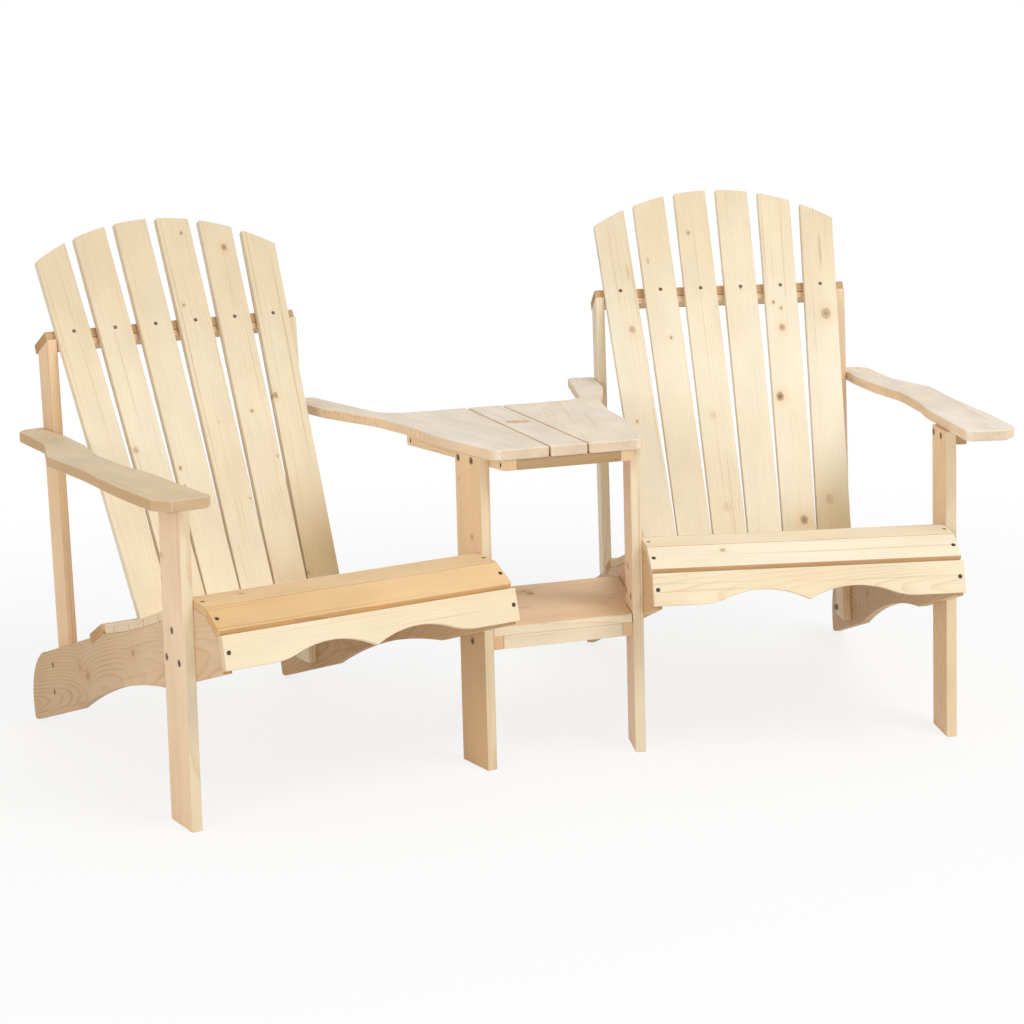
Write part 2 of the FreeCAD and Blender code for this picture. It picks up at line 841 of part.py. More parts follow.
def chord_point(run, rise):
    """Depth and level of a point in the axes of the seat's chord."""
    pitch = math.radians(S.rail_pitch.value)
    depth = dish_front_y.value + run * math.cos(pitch) + rise * math.sin(pitch)
    height = dish_front_z.value - run * math.sin(pitch) + rise * math.cos(pitch)
    return depth, height


seat_sections = [seat_slat_corners(number) for number in range(int(S.seat_slat_count.value))]
rail_middle = (half_span + rail_inside).value / 2
for section in seat_sections:
    rear_top, front_top = section[2].point(), section[3].point()
    depth, height = chord_point(*((rear_top + front_top) * 0.5)[:2])
    rear_low = section[1].point()
    below = V(*chord_point(*rear_low[:2]), 0) - V(*chord_point(*rear_top[:2]), 0)
    for hand in (-1, 1):
        head = V(hand * rail_middle, depth, height)
        chair_screws.append(Fastener(head, V(0, below.x, below.y), S.screw_length.value))

brow_middle = -S.brow_reach + S.brow_width / 2
brow_down = V(0, sine(S.brow_tilt).value, -cosine(S.brow_tilt).value)
nose_down = V(0, nose_sine.value, -nose_cosine.value)
nose_half = S.nose_width * 0.52
apron_in = V(0, apron_cosine.value, -apron_sine.value)
for hand in (-1, 1):
    head = side_point(hand * rail_middle, brow_middle, S.brow_level + S.brow_width / 2 * brow_slope)
    chair_screws.append(Fastener(head, brow_down, S.screw_length.value))
    head = side_point(
        hand * rail_middle,
        nose_start - nose_half * nose_cosine,
        S.brow_level - nose_half * nose_sine,
    )
    chair_screws.append(Fastener(head, nose_down, S.screw_length.value))
    head = side_point(
        hand * rail_middle,
        -S.apron_reach - S.apron_depth * 0.5 * apron_sine,
        S.apron_level - S.apron_depth * 0.5 * apron_cosine,
    )
    chair_screws.append(Fastener(head, apron_in, S.screw_length.value))

outer_batten_middle = leg_outside + S.batten_thin / 2
batten_low = S.leg_height.value - S.batten_wide.value
for share in (0.16, 0.6):
    head = side_point(-outer_batten_middle, S.arm_batten_length * share, batten_low)
    chair_screws.append(Fastener(head, V(0, 0, 1), S.screw_length.value))

# Fasteners of the table and the shelf, left half, in the chair's frame

table_screws = []
table_batten_low = S.leg_height.value - S.batten_thin.value
table_batten_middle = leg_outside + S.batten_wide / 2
short_screw = S.batten_thin.value + S.arm_thickness.value * 0.6
for depth in (120, 255):
    head = side_point(table_batten_middle, depth, table_batten_low)
    table_screws.append(Fastener(head, V(0, 0, 1), short_screw))
shelf_batten_low = (S.shelf_level - slat - S.batten_wide).value
shelf_batten_middle = leg_outside + S.batten_thin / 2
shelf_screw = S.batten_wide.value + slat.value * 0.6
for depth in (60, 200):
    head = side_point(shelf_batten_middle, depth, shelf_batten_low)
    table_screws.append(Fastener(head, V(0, 0, 1), shelf_screw))

table_strip_front = named("table_strip_front", S.table_front + S.table_strip_recess)
table_strip_rear = named(
    "table_strip_rear", leg_outside * toe_sine + S.table_batten_end * toe_cosine
)
shelf_strip_rear = named("shelf_strip_rear", S.shelf_rear - 2)
strip_lines = (
    (table_strip_front + S.batten_wide / 2, table_batten_low + S.batten_thin.value / 2),
    (table_strip_rear - S.batten_wide / 2, table_batten_low + S.batten_thin.value / 2),
    (S.shelf_front + S.batten_thin / 2, shelf_batten_low + S.batten_wide.value / 2),
    (shelf_strip_rear - S.batten_thin / 2, shelf_batten_low + S.batten_wide.value / 2),
)
along_bench = V(toe_cosine.value, -toe_sine.value, 0)
for line, height in strip_lines:
    head = side_point(leg_outside, depth_at(leg_outside, line), height)
    table_screws.append(Fastener(head, along_bench, 50))

# Screws of the middle board, in the bench's frame

centre_screws = []
for line, height in strip_lines[:2]:
    head = side_point(0, line, table_batten_low)
    centre_screws.append(Fastener(head, V(0, 0, 1), short_screw))


def cutters_of(fasteners, place):
    return placed([fastener.cutter() for fastener in fasteners], place)


def solids_of(fasteners, place):
    found = []
    for fastener in fasteners:
        found.extend(placed(fastener.solids(), place))
    return found


def mirrored(shapes):
    return [shape.mirror(V(0, 0, 0), V(1, 0, 0)) for shape in shapes]


left_cutters = cutters_of(chair_bolts + chair_screws + table_screws, chair_place)
middle_cutters = cutters_of(centre_screws, bench_place)
all_cutters = left_cutters + mirrored(left_cutters) + middle_cutters

pieces = []


def single(label, body):
    """A piece that stands once in the bench."""
    pieces.append((label, None, body))


def both(name, body, number=""):
    """A piece of the left chair, to be mirrored for the right one."""
    pieces.append((f"{name}_left{number}", f"{name}_right{number}", body))


# Front legs

for name, low in (("outer_leg", -leg_outside), ("inner_leg", half_span)):
    section = rectangle(low, 0, low + S.leg_thickness, S.leg_width)
    both(name, board(name, section, S.leg_height, level(0)))

# Side rails

notch_width = S.support_width + S.support_fit
notch_y = named("notch_y", support_heel_y + notch_width * back_cosine)
notch_z = named("notch_z", support_heel_z - notch_width * back_sine)
notch_rise = named(
    "notch_rise",
    (rail_high(notch_y) - notch_z) / (back_cosine + rail_slope * back_sine),
)
scoop_middle = named("scoop_middle", (S.scoop_front + S.scoop_rear) / 2)
pitch_sine = named("pitch_sine", sine(S.rail_pitch))
pitch_cosine = named("pitch_cosine", cosine(S.rail_pitch))
dish_middle_y = named("dish_middle_y", (dish_front_y + support_heel_y) / 2)
shoulder_y = named("shoulder_y", heel_depth - S.rail_shoulder)
shoulder_z = named("shoulder_z", rail_high(shoulder_y))
shoulder_rise = named("shoulder_rise", shoulder_z - S.rail_heel_height)
foot_rear = named("foot_rear", S.rail_foot_depth + S.rail_foot_flat)


def upright_arc(reach, rise):
    """Reach, at half the rise, of an arc that is upright at its far end."""
    radius = (reach * reach + rise * rise) / (2 * reach)
    return radius - root(radius * radius - rise * rise / 4)


rail_path = [
    Corner(rail_toe_y, rail_toe_z),
    Corner(S.scoop_front, rail_low(S.scoop_front)),
    Via(
        scoop_middle + S.scoop_rise * pitch_sine,
        rail_low(scoop_middle) + S.scoop_rise * pitch_cosine,
    ),
    Corner(S.scoop_rear, rail_low(S.scoop_rear)),
    Corner(S.rail_foot_depth, 0),
    Corner(foot_rear, 0),
    Via(heel_depth - upright_arc(S.rail_heel_reach, S.rail_heel_height), S.rail_heel_height / 2),
    Corner(heel_depth, S.rail_heel_height),
    Via(
        heel_depth - upright_arc(S.rail_shoulder, shoulder_rise),
        S.rail_heel_height + shoulder_rise / 2,
    ),
    Corner(shoulder_y, shoulder_z),
    Corner(notch_y + notch_rise * back_sine, notch_z + notch_rise * back_cosine),
    Corner(notch_y, notch_z),
    Corner(support_heel_y, support_heel_z),
    Via(
        dish_middle_y - S.dish_drop * pitch_sine,
        rail_high(dish_middle_y) - S.dish_drop * pitch_cosine,
    ),
    Corner(dish_front_y, dish_front_z),
    Corner(nose_start, brow_under),
    Corner(nose_start, nose_under),
    Corner(rail_nose_y, rail_nose_z),
]
for name, low in (("outer_rail", -half_span), ("inner_rail", rail_inside)):
    both(name, board(name, rail_path, S.rail_thickness, side(low)))

# Rear posts, their tops cut to the slope of the upper back support


def post_top(behind):
    """Top of a post's face that lies behind its front face, under the support."""
    tilt = back_sine / back_cosine
    base = post_front(dim(0)) + behind
    height = (support_front_z - (base - support_front_y) * tilt) / (1 + post_slope * tilt)
    return base + height * post_slope, height


foot_front = named("foot_front", post_front(S.post_foot))
crest_y, crest_z = post_top(dim(0))
nape_y, nape_z = post_top(S.post_width)
post_path = [
    Corner(foot_front, S.post_foot),
    Corner(foot_front + S.post_width, S.post_foot),
    Corner(named("post_nape_y", nape_y), named("post_nape_z", nape_z)),
    Corner(named("post_crest_y", crest_y), named("post_crest_z", crest_z)),
]
for name, low in (("outer_post", -rail_inside), ("inner_post", post_inside)):
    both(name, board(name, post_path, S.post_thickness, side(low)))

# Back supports and the batten under the upper one

support_rear = slat + S.support_width
upper_path = rectangle(
    slat, S.support_reach, support_rear, S.support_reach + S.support_thickness
)
both(
    "upper_back_support",
    board("upper_back_support", upper_path, 2 * rail_inside, back_side(-rail_inside)),
)
lower_path = rectangle(slat, support_low, support_rear, support_low + S.support_thickness)
both(
    "lower_back_support",
    board("lower_back_support", lower_path, 2 * half_span, back_side(-half_span)),
)
cleat_front = slat + 2
cleat_path = rectangle(
    cleat_front,
    S.support_reach - S.cleat_drop,
    cleat_front + S.batten_wide,
    S.support_reach,
)
cleat_half = post_inside - S.cross_fit
both(
    "upper_back_batten",
    board("upper_back_batten", cleat_path, 2 * cleat_half, back_side(-cleat_half)),
)

# Back slats, a fan whose tops are cut to one arc

back_front = Stand(
    "XZ_Plane", (0, S.back_level, -S.back_depth), V(1, 0, 0), -S.recline
)
crown_centre = named("crown_centre", S.crown_reach - S.crown_radius)


def crown_point(prefix, foot, lean):
    """Where a slat's edge, a line from its foot with a lean, meets the arc."""
    square = named(f"{prefix}_a", 1 + lean * lean)
    linear = named(f"{prefix}_b", foot * lean - crown_centre)
    rest = foot * foot + crown_centre * crown_centre - S.crown_radius * S.crown_radius
    up = named(f"{prefix}_up", (root(linear * linear - square * rest) - linear) / square)
    return named(f"{prefix}_across", foot + lean * up), up


for number in range(int(S.back_slat_count.value)):
    prefix = f"back_{number + 1}"
    step = number - (S.back_slat_count - 1) / 2
    lean = named(f"{prefix}_lean", step * S.fan_spread)
    half_width = named(f"{prefix}_half", S.back_slat_width / 2 * root(1 + lean * lean))
    middle = named(f"{prefix}_middle", step * S.fan_pitch)
    left_x, left_up = crown_point(f"{prefix}_left", middle - half_width, lean)
    right_x, right_up = crown_point(f"{prefix}_right", middle + half_width, lean)
    top_x = named(f"{prefix}_top", (left_x + right_x) / 2)
    top_up = crown_centre + root(S.crown_radius * S.crown_radius - top_x * top_x)
    low_x = named(f"{prefix}_low", middle + lean * support_low)
    slat_path = [
        Corner(low_x - half_width, support_low),
        Corner(low_x + half_width, support_low),
        Corner(right_x, right_up),
        Via(top_x, top_up),
        Corner(left_x, left_up),
    ]
    body = board(f"back_slat_{number + 1}", slat_path, slat, back_front, reverse=True)
    both("back_slat", body, f"_{number + 1}")

# Seat slats: the ones behind the brow slat share a node

seat_length = S.seat_span - 2 * S.side_fit
seat_low = S.side_fit - half_span
seat_bodies = []
for number, section in enumerate(seat_sections):
    name = f"seat_slat_{number + 1}"
    seat_bodies.append(board(name, section, seat_length, seat_side(seat_low)))
seat_group = doc.addObject("Part::Compound", "seat_slats_group")
seat_group.Links = seat_bodies
both("seat_slats", seat_group)

brow_path = [
    Corner(-S.brow_reach, brow_under),
    Corner(-S.brow_reach, S.brow_level),
    Corner(S.brow_width - S.brow_reach, S.brow_level + S.brow_width * brow_slope),
    Corner(S.brow_width - S.brow_reach, brow_under + S.brow_width * brow_slope),
]
both("brow_slat", board("brow_slat", brow_path, seat_length, side(seat_low)))

nose_end_y = named("nose_end_y", nose_start - S.nose_width * nose_cosine)
nose_end_z = named("nose_end_z", S.brow_level - S.nose_width * nose_sine)
nose_path = [
    Corner(nose_start, S.brow_level),
    Corner(nose_end_y, nose_end_z),
    Corner(nose_end_y + slat * nose_sine, nose_end_z - slat * nose_cosine),
    Corner(nose_start, nose_under),
]
both("nose_slat", board("nose_slat", nose_path, seat_length, side(seat_low)))

# Apron, with two scallops that meet in a point

apron_stand = Stand(
    "XZ_Plane", (0, S.apron_level, S.apron_reach), V(1, 0, 0), -S.apron_lean
)
curve_start = named("curve_start", half_span - S.apron_flat)
curve_middle = (curve_start + S.scallop_start) / 2
curve_drop = S.apron_depth - (S.apron_depth - S.scallop_brow) * 0.28
scallop_middle = S.scallop_start / 2
apron_path = [
    Corner(-half_span, 0),
    Corner(-half_span, -S.apron_depth),
    Corner(-curve_start, -S.apron_depth),
    Via(-curve_middle, -curve_drop),
    Corner(-S.scallop_start, -S.scallop_brow),
    Via(-scallop_middle, -S.scallop_top),
    Corner(0, -S.scallop_point),
    Via(scallop_middle, -S.scallop_top),
    Corner(S.scallop_start, -S.scallop_brow),
    Via(curve_middle, -curve_drop),
    Corner(curve_start, -S.apron_depth),
    Corner(half_span, -S.apron_depth),
    Corner(half_span, 0),
]
both("apron", board("apron", apron_path, slat, apron_stand, reverse=True))

# Outer arms and the battens that carry them

arm_level = level(S.leg_height)
tail_out = named("tail_out", arm_tail + S.arm_tail_width)
tail_wide = named("tail_wide", tail_out + S.arm_tail_growth)
arm_path = [
    Corner(-arm_tail, arm_rear, 4),
    Corner(-arm_tail, 590, 220),
    Corner(-(arm_tail + 9), 475, 60),
    Corner(-S.arm_waist, 355, 120),
    Corner(-S.arm_waist, 218, 60),
    Corner(-S.arm_inside, 145, 60),
    Corner(-S.arm_inside, S.paddle_ease - S.arm_front, 5),
    Corner(-(S.arm_inside + S.paddle_ease), -S.arm_front, 5),
    Corner(S.paddle_cut_across - S.arm_outside, -S.arm_front, 5),
    Corner(-S.arm_outside, S.paddle_cut_back - S.arm_front, 6),
    Corner(-S.arm_outside, 60, 300),
    Corner(-S.arm_shoulder, 240, 300),
    Corner(-S.arm_shoulder, 408, 30),
    Corner(-tail_wide, 535, 60),
    Corner(-tail_out, arm_rear, 36),
]
both("arm", board("arm", arm_path, S.arm_thickness, arm_level, ease=S.top_round))

arm_batten_path = rectangle(
    -(leg_outside + S.batten_thin), 0, -leg_outside, S.arm_batten_length
)
arm_batten_level = level(S.leg_height - S.batten_wide)
both("arm_batten", board("arm_batten", arm_batten_path, S.batten_wide, arm_batten_level))

# Table boards: each side board runs on as the inner arm of its chair


def on_bench(across, depth):
    """Left-hand place in the bench's frame of a point of the chair's frame."""
    x = across * toe_cosine - depth * toe_sine - S.chair_spread
    y = across * toe_sine + depth * toe_cosine
    return x, y


def bench_corner(alias, across, depth, rounding=0):
    x, y = on_bench(dim(across), dim(depth))
    return Corner(named(f"{alias}_x", x), named(f"{alias}_y", y), rounding)


table_path = [
    Corner(-table_edge, S.table_front, 4),
    Corner(-table_edge, table_rear, 4),
    Corner(-chair_across(tail_wide, table_rear), table_rear, S.table_cove),
    bench_corner("tail_outer", tail_out, arm_rear, 10),
    bench_corner("tail_inner", arm_tail, arm_rear, 4),
    bench_corner("waist_rear", arm_tail, 575, 180),
    bench_corner("waist_high", S.arm_waist, 400, 120),
    bench_corner("waist_low", S.arm_waist, 280, 140),
    bench_corner("waist_front", S.table_inside, 165, 200),
    Corner(-chair_across(S.table_inside, S.table_front), S.table_front, S.table_corner),
]
table_level = level(S.leg_height)
table_body = board(
    "table_board", table_path, S.arm_thickness, table_level, in_chair=False, ease=S.top_round
)
both("table_board", table_body)

pole_axis = Corner(0, S.pole_depth)
centre_half = S.centre_board_width / 2
centre_path = [
    Corner(-centre_half, S.table_front, 4),
    Corner(centre_half, S.table_front, 4),
    Corner(centre_half, table_rear, 4),
    Corner(-centre_half, table_rear, 4),
]
centre_body = board(
    "table_board_centre",
    centre_path,
    S.arm_thickness,
    table_level,
    in_chair=False,
    holes=((pole_axis, S.pole_radius),),
    ease=S.top_round,
)
single("table_board_centre", centre_body)

# Battens and cross strips under the table

table_batten_out = named("table_batten_out", leg_outside + S.batten_wide)
table_batten_path = [
    Corner(leg_outside, depth_at(leg_outside, table_strip_front)),
    Corner(table_batten_out, depth_at(table_batten_out, table_strip_front)),
    Corner(table_batten_out, S.table_batten_end),
    Corner(leg_outside, S.table_batten_end),
]
under_table = level(S.leg_height - S.batten_thin)
both("table_batten", board("table_batten", table_batten_path, S.batten_thin, under_table))


def cross_strip(name, across, front, rear, thickness, stand):
    """A strip between the two battens, its ends cut to their angle."""
    fit = S.cross_fit
    front_half = chair_across(across, front) - fit
    rear_half = chair_across(across, rear) - fit
    path = [
        Corner(-front_half, front),
        Corner(front_half, front),
        Corner(rear_half, rear),
        Corner(-rear_half, rear),
    ]
    single(name, board(name, path, thickness, stand, in_chair=False))


cross_strip(
    "table_front_strip",
    table_batten_out,
    table_strip_front,
    table_strip_front + S.batten_wide,
    S.batten_thin,
    under_table,
)
cross_strip(
    "table_rear_strip",
    table_batten_out,
    table_strip_rear - S.batten_wide,
    table_strip_rear,
    S.batten_thin,
    under_table,
)

# Shelf, its battens and its cross strips

shelf_batten_out = named("shelf_batten_out", leg_outside + S.batten_thin)
under_shelf = level(S.shelf_level - slat - S.batten_wide)
shelf_batten_end = named("shelf_batten_end", depth_at(leg_outside, S.shelf_rear) - 2)
shelf_batten_path = [
    Corner(leg_outside, depth_at(leg_outside, S.shelf_front)),
    Corner(shelf_batten_out, depth_at(shelf_batten_out, S.shelf_front)),
    Corner(shelf_batten_out, shelf_batten_end),
    Corner(leg_outside, shelf_batten_end),
]
both("shelf_batten", board("shelf_batten", shelf_batten_path, S.batten_wide, under_shelf))
cross_strip(
    "shelf_front_strip",
    shelf_batten_out,
    S.shelf_front,
    S.shelf_front + S.batten_thin,
    S.batten_wide,
    under_shelf,
)
cross_strip(
    "shelf_rear_strip",
    shelf_batten_out,
    shelf_strip_rear - S.batten_thin,
    shelf_strip_rear,
    S.batten_wide,
    under_shelf,
)

beside_leg = leg_outside + S.shelf_fit
beside_rail = half_span + S.shelf_fit
behind_leg = S.leg_width + S.shelf_fit
leg_front_half = named("leg_front_half", chair_across(beside_leg, S.shelf_front))
shelf_rear_half = named("shelf_rear_half", chair_across(beside_rail, S.shelf_rear))
leg_notch = bench_corner("leg_notch", beside_leg, behind_leg)
rail_notch = bench_corner("rail_notch", beside_rail, behind_leg)
shelf_path = [
    Corner(-leg_front_half, S.shelf_front),
    Corner(leg_front_half, S.shelf_front),
    Corner(-leg_notch.x, leg_notch.y),
    Corner(-rail_notch.x, rail_notch.y),
    Corner(shelf_rear_half, S.shelf_rear),
    Corner(-shelf_rear_half, S.shelf_rear),
    rail_notch,
    leg_notch,
]
shelf_body = board(
    "shelf",
    shelf_path,
    slat,
    level(S.shelf_level - slat),
    in_chair=False,
    holes=((pole_axis, S.pole_radius),),
)
single("shelf", shelf_body)

# Holes for the fasteners, and the right chair

nodes = []


def keep(label, thing):
    thing.Label = label
    nodes.append(thing)
    return thing


def bored(label, body):
    """A board with the holes of every fastener that passes through it."""
    box = body.Shape.BoundBox
    tools = [tool for tool in all_cutters if tool.BoundBox.intersect(box)]
    tools = [tool for tool in tools if tool.common(body.Shape).Volume > 1]
    if not tools:
        return keep(label, body)
    drills = doc.addObject("Part::Feature", f"{label}_drills")
    drills.Shape = Part.makeCompound(tools)
    cut = doc.addObject("Part::Cut", f"{label}_bored")
    cut.Base = body
    cut.Tool = drills
    return keep(label, cut)


doc.recompute()
for label, image_label, body in pieces:
    piece = bored(label, body)
    if image_label is not None:
        image = doc.addObject("Part::Mirroring", f"{image_label}_image")
        image.Source = piece
        image.Base = V(0, 0, 0)
        image.Normal = V(1, 0, 0)
        keep(image_label, image)

# Fasteners, grouped by kind and place

left_bolts = solids_of(chair_bolts, chair_place)
left_screws = solids_of(chair_screws, chair_place)
left_table = solids_of(table_screws, chair_place)
centre = solids_of(centre_screws, bench_place)
for label, shapes in (
    ("frame_bolts_left", left_bolts),
    ("frame_bolts_right", mirrored(left_bolts)),
    ("wood_screws_left", left_screws),
    ("wood_screws_right", mirrored(left_screws)),
    ("table_screws", left_table + mirrored(left_table) + centre),
):
    group = doc.addObject("Part::Feature", f"{label}_group")
    group.Shape = Part.makeCompound(shapes)
    keep(label, group)

# Checks and export

doc.recompute()
for thing in doc.Objects:
    if "Invalid" in thing.State or "Error" in thing.State:
        raise RuntimeError(f"{thing.Label} is {thing.State}")
for thing in nodes:
    if thing.Shape.isNull() or not thing.Shape.isValid():
        raise RuntimeError(f"{thing.Label} has no valid shape")
    if not thing.Shape.Solids:
        raise RuntimeError(f"{thing.Label} holds no solid")

os.makedirs("parts", exist_ok=True)
whole = FreeCAD.BoundBox()
for thing in nodes:
    thing.Shape.exportStep(f"parts/{thing.Label}.step")
    whole.add(thing.Shape.BoundBox)

print("nodes", len(nodes))
print("box", [round(number, 2) for number in (whole.XMin, whole.XMax, whole.YMin, whole.YMax)])
print("height", round(whole.ZMin, 3), round(whole.ZMax, 2))
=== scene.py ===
import functools
import math
import random
from collections import namedtuple

import bpy
import numpy as np
from bpy.props import FloatProperty, FloatVectorProperty, PointerProperty
from mathutils import Matrix, Vector


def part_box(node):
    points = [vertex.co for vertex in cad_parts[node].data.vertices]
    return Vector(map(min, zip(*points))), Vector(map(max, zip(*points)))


bl_info = {
    "name": "Companion Seat Bench",
    "version": (1, 0, 0),
    "blender": (4, 5, 0),
    "location": "View3D > Sidebar > Bench",
    "description": "Finishes two slatted garden chairs, their shared table and the studio floor",
    "category": "Object",
}

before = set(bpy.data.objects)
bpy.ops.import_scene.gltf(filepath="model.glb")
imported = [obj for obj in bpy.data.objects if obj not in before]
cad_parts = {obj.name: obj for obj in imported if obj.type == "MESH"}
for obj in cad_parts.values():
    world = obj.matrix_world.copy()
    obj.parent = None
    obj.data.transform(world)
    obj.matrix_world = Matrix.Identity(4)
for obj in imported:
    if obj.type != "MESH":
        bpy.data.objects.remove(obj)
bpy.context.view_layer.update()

SIDES = (("left", -1), ("right", 1))
WIDE = Vector((1.0, 0.0, 0.0))
DEEP = Vector((0.0, 1.0, 0.0))
UPRIGHT = Vector((0.0, 0.0, 1.0))

# How the boards of a chair stand. The right chair is the mirror image of the
# left one.
VERTICAL = math.radians(90.0)
TOE_IN = math.radians(12.9)
RECLINE = math.radians(27.5)
RAIL_PITCH = math.radians(18.0)
NOSE_SLOPE = math.radians(30.7)
BROW_TILT = math.radians(4.0)
APRON_LEAN = math.radians(14.5)
POST_LEAN = math.radians(3.0)

BACK_SLATS = 6
FAN_STEP = 0.025  # how much more each back slat leans than the one before it
SEAT_PITCH = 0.0714  # a seat slat and the gap behind it
SEAT_FRONT = (-0.4175, -0.3268, 0.3753)  # left chair, front of the hollow of the seat
SEAT_SETBACK = 0.0155  # from there to the first slat


def from_chair(across, depth, up, side):
    """A direction of the chair in the row's frame; side is -1 left, 1 right.

    Across grows towards the table and depth towards the rear.
    """
    x = across * math.cos(TOE_IN) - depth * math.sin(TOE_IN)
    y = across * math.sin(TOE_IN) + depth * math.cos(TOE_IN)
    return Vector((-side * x, y, up))


def in_profile(angle, side, lean=0.0):
    """A direction at an angle above the rearward level, as the chair's side view shows it."""
    return from_chair(lean, math.cos(angle), math.sin(angle), side)


def chair_axes(side):
    """The chair's across and depth."""
    return from_chair(1.0, 0.0, 0.0, side), from_chair(0.0, 1.0, 0.0, side)


def middle(node):
    """The middle of a node's box."""
    low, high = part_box(node)
    return (Vector(low) + Vector(high)) / 2


# Shader building


class Wire:
    """A value socket. Arithmetic on it adds Math nodes to its shader."""

    def __init__(self, shader, socket):
        self.shader = shader
        self.socket = socket

    def math(self, operation, *others):
        node = self.shader.add("ShaderNodeMath", {"operation": operation})
        for place, value in enumerate((self, *others)):
            self.shader.feed(node.inputs[place], value)
        return Wire(self.shader, node.outputs[0])

    def __add__(self, other):
        return self.math("ADD", other)

    def __radd__(self, other):
        return self.math("ADD", other)

    def __sub__(self, other):
        return self.math("SUBTRACT", other)

    def __rsub__(self, other):
        return self.math("MULTIPLY_ADD", -1.0, other)

    def __mul__(self, other):
        return self.math("MULTIPLY", other)

    def __rmul__(self, other):
        return self.math("MULTIPLY", other)

    def __truediv__(self, other):
        return self.math("DIVIDE", other)

    def __rtruediv__(self, other):
        return self ** -1.0 * other

    def __pow__(self, other):
        return self.math("POWER", other)

    def __abs__(self):
        return self.math("ABSOLUTE")

    def root(self):
        return self.math("SQRT")

    def fraction(self):
        return self.math("FRACT")

    def floor(self):
        return self.math("FLOOR")

    def larger(self, other):
        return self.math("MAXIMUM", other)

    def smaller(self, other):
        return self.math("MINIMUM", other)


class Shader:
    """A node tree with one way to add a node."""

    def __init__(self, tree):
        self.tree = tree
        self.tree.nodes.clear()

    def feed(self, socket, value):
        """Link a socket to a wire or to another socket, or set its value."""
        if isinstance(value, Wire):
            self.tree.links.new(value.socket, socket)
        elif isinstance(value, bpy.types.NodeSocket):
            self.tree.links.new(value, socket)
        else:
            socket.default_value = value

    def add(self, kind, settings=None, inputs=None):
        """Add a node: its settings first, then the values or links of its sockets."""
        node = self.tree.nodes.new(kind)
        for name, value in (settings or {}).items():
            if name == "stops":
                self.set_stops(node.color_ramp, value)
            else:
                setattr(node, name, value)
        for name, value in (inputs or {}).items():
            self.feed(node.inputs[name], value)
        return node

    def set_stops(self, ramp, stops):
        while len(ramp.elements) < len(stops):
            ramp.elements.new(1.0)
        for element, (place, value) in zip(ramp.elements, stops):
            element.position = place
            element.color = (value, value, value, 1.0)

    def wire(self, socket):
        return Wire(self, socket)

    def combine(self, x, y, z):
        return self.add("ShaderNodeCombineXYZ", None, {"X": x, "Y": y, "Z": z}).outputs[0]

    def separate(self, vector):
        node = self.add("ShaderNodeSeparateXYZ", None, {0: vector})
        return [self.wire(socket) for socket in node.outputs]

    def noise(self, vector, scale, detail, roughness=0.5):
        inputs = {"Vector": vector, "Scale": scale, "Detail": detail, "Roughness": roughness}
        return self.wire(self.add("ShaderNodeTexNoise", None, inputs).outputs[0])

    def curve(self, value, stops):
        ramp = self.add("ShaderNodeValToRGB", {"stops": stops}, {"Fac": value})
        return self.wire(ramp.outputs[0])

    def smooth(self, value, low, high):
        """0 at low, 1 at high and a soft step between them."""
        settings = {"interpolation_type": "SMOOTHSTEP"}
        inputs = {"Value": value, "From Min": low, "From Max": high}
        return self.wire(self.add("ShaderNodeMapRange", settings, inputs).outputs[0])

    def inside(self, reach, inner, outer):
        """1 up to the inner distance, 0 past the outer one and a soft step between them."""
        return 1.0 - self.smooth(reach, inner, outer)

    def largest(self, masks):
        """The largest of the masks at each point, or 0 where there are none."""
        return functools.reduce(Wire.larger, masks) if masks else 0.0

    def mix(self, factor, first, second, blend="MIX"):
        settings = {"data_type": "RGBA", "blend_type": blend}
        inputs = {0: factor, 6: first, 7: second}
        return self.add("ShaderNodeMix", settings, inputs).outputs[2]

    def distance(self, vector, point):
        node = self.add("ShaderNodeVectorMath", {"operation": "DISTANCE"}, {0: vector, 1: point})
        return self.wire(node.outputs["Value"])

    def seen(self):
        """1 where the camera sees it, straight on, mirrored or through glass, and 0 elsewhere."""
        path = self.add("ShaderNodeLightPath")
        rays = ("Is Camera Ray", "Is Glossy Ray", "Is Transmission Ray")
        return self.largest([self.wire(path.outputs[ray]) for ray in rays])

    def surface(self, bump, inputs):
        """Close the shader with a surface that has this bump and these inputs."""
        normal = self.add("ShaderNodeBump", None, bump).outputs[0]
        body = self.add("ShaderNodeBsdfPrincipled", None, {"Normal": normal, **inputs})
        self.add("ShaderNodeOutputMaterial", None, {"Surface": body.outputs[0]})


def new_material(name):
    material = bpy.data.materials.new(name)
    material.use_nodes = True
    return material


def rgba(colour):
    return (*colour, 1.0)


# Pine

# Streaks in the wood: cycles per metre along the board and across it, with the
# noise's detail and roughness
Streak = namedtuple("Streak", "lengthwise crosswise detail roughness")
RIPPLES = Streak(9.0, 60.0, 3.0, 0.6)
FIBRES = Streak(6.0, 480.0, 3.0, 0.6)
OCHRE_LINES = Streak(1.6, 130.0, 2.0, 0.6)
RESIN_DASHES = Streak(50.0, 900.0, 1.0, 0.5)
CLOUDS = Streak(9.0, 22.0, 3.0, 0.5)

# The log, in metres and in cycles per metre
FLAT_SAWN_SHARE = 0.25
WANDER = 2.4
WANDER_SQUEEZE = 2.0  # slow changes are this much quicker across the board
HEART_SWAY = 0.016  # how far the heart line wanders across the board
HEART_HEAVE = 0.03  # and through its thickness
RIPPLE = 0.0032  # how far the rings leave their circles

# Like boards in one node come from places all over the log, in metres
ROW_HEARTS = 0.24  # their heart lines lie within this width
ROW_DEPTH, ROW_DEPTHS = 0.01, 0.05  # the least depth of the heart lines, and its range
ROW_LENGTH = 9.0  # stretch of the log that they are cut from
ROW_TONES = 0.12  # how much they differ in tone

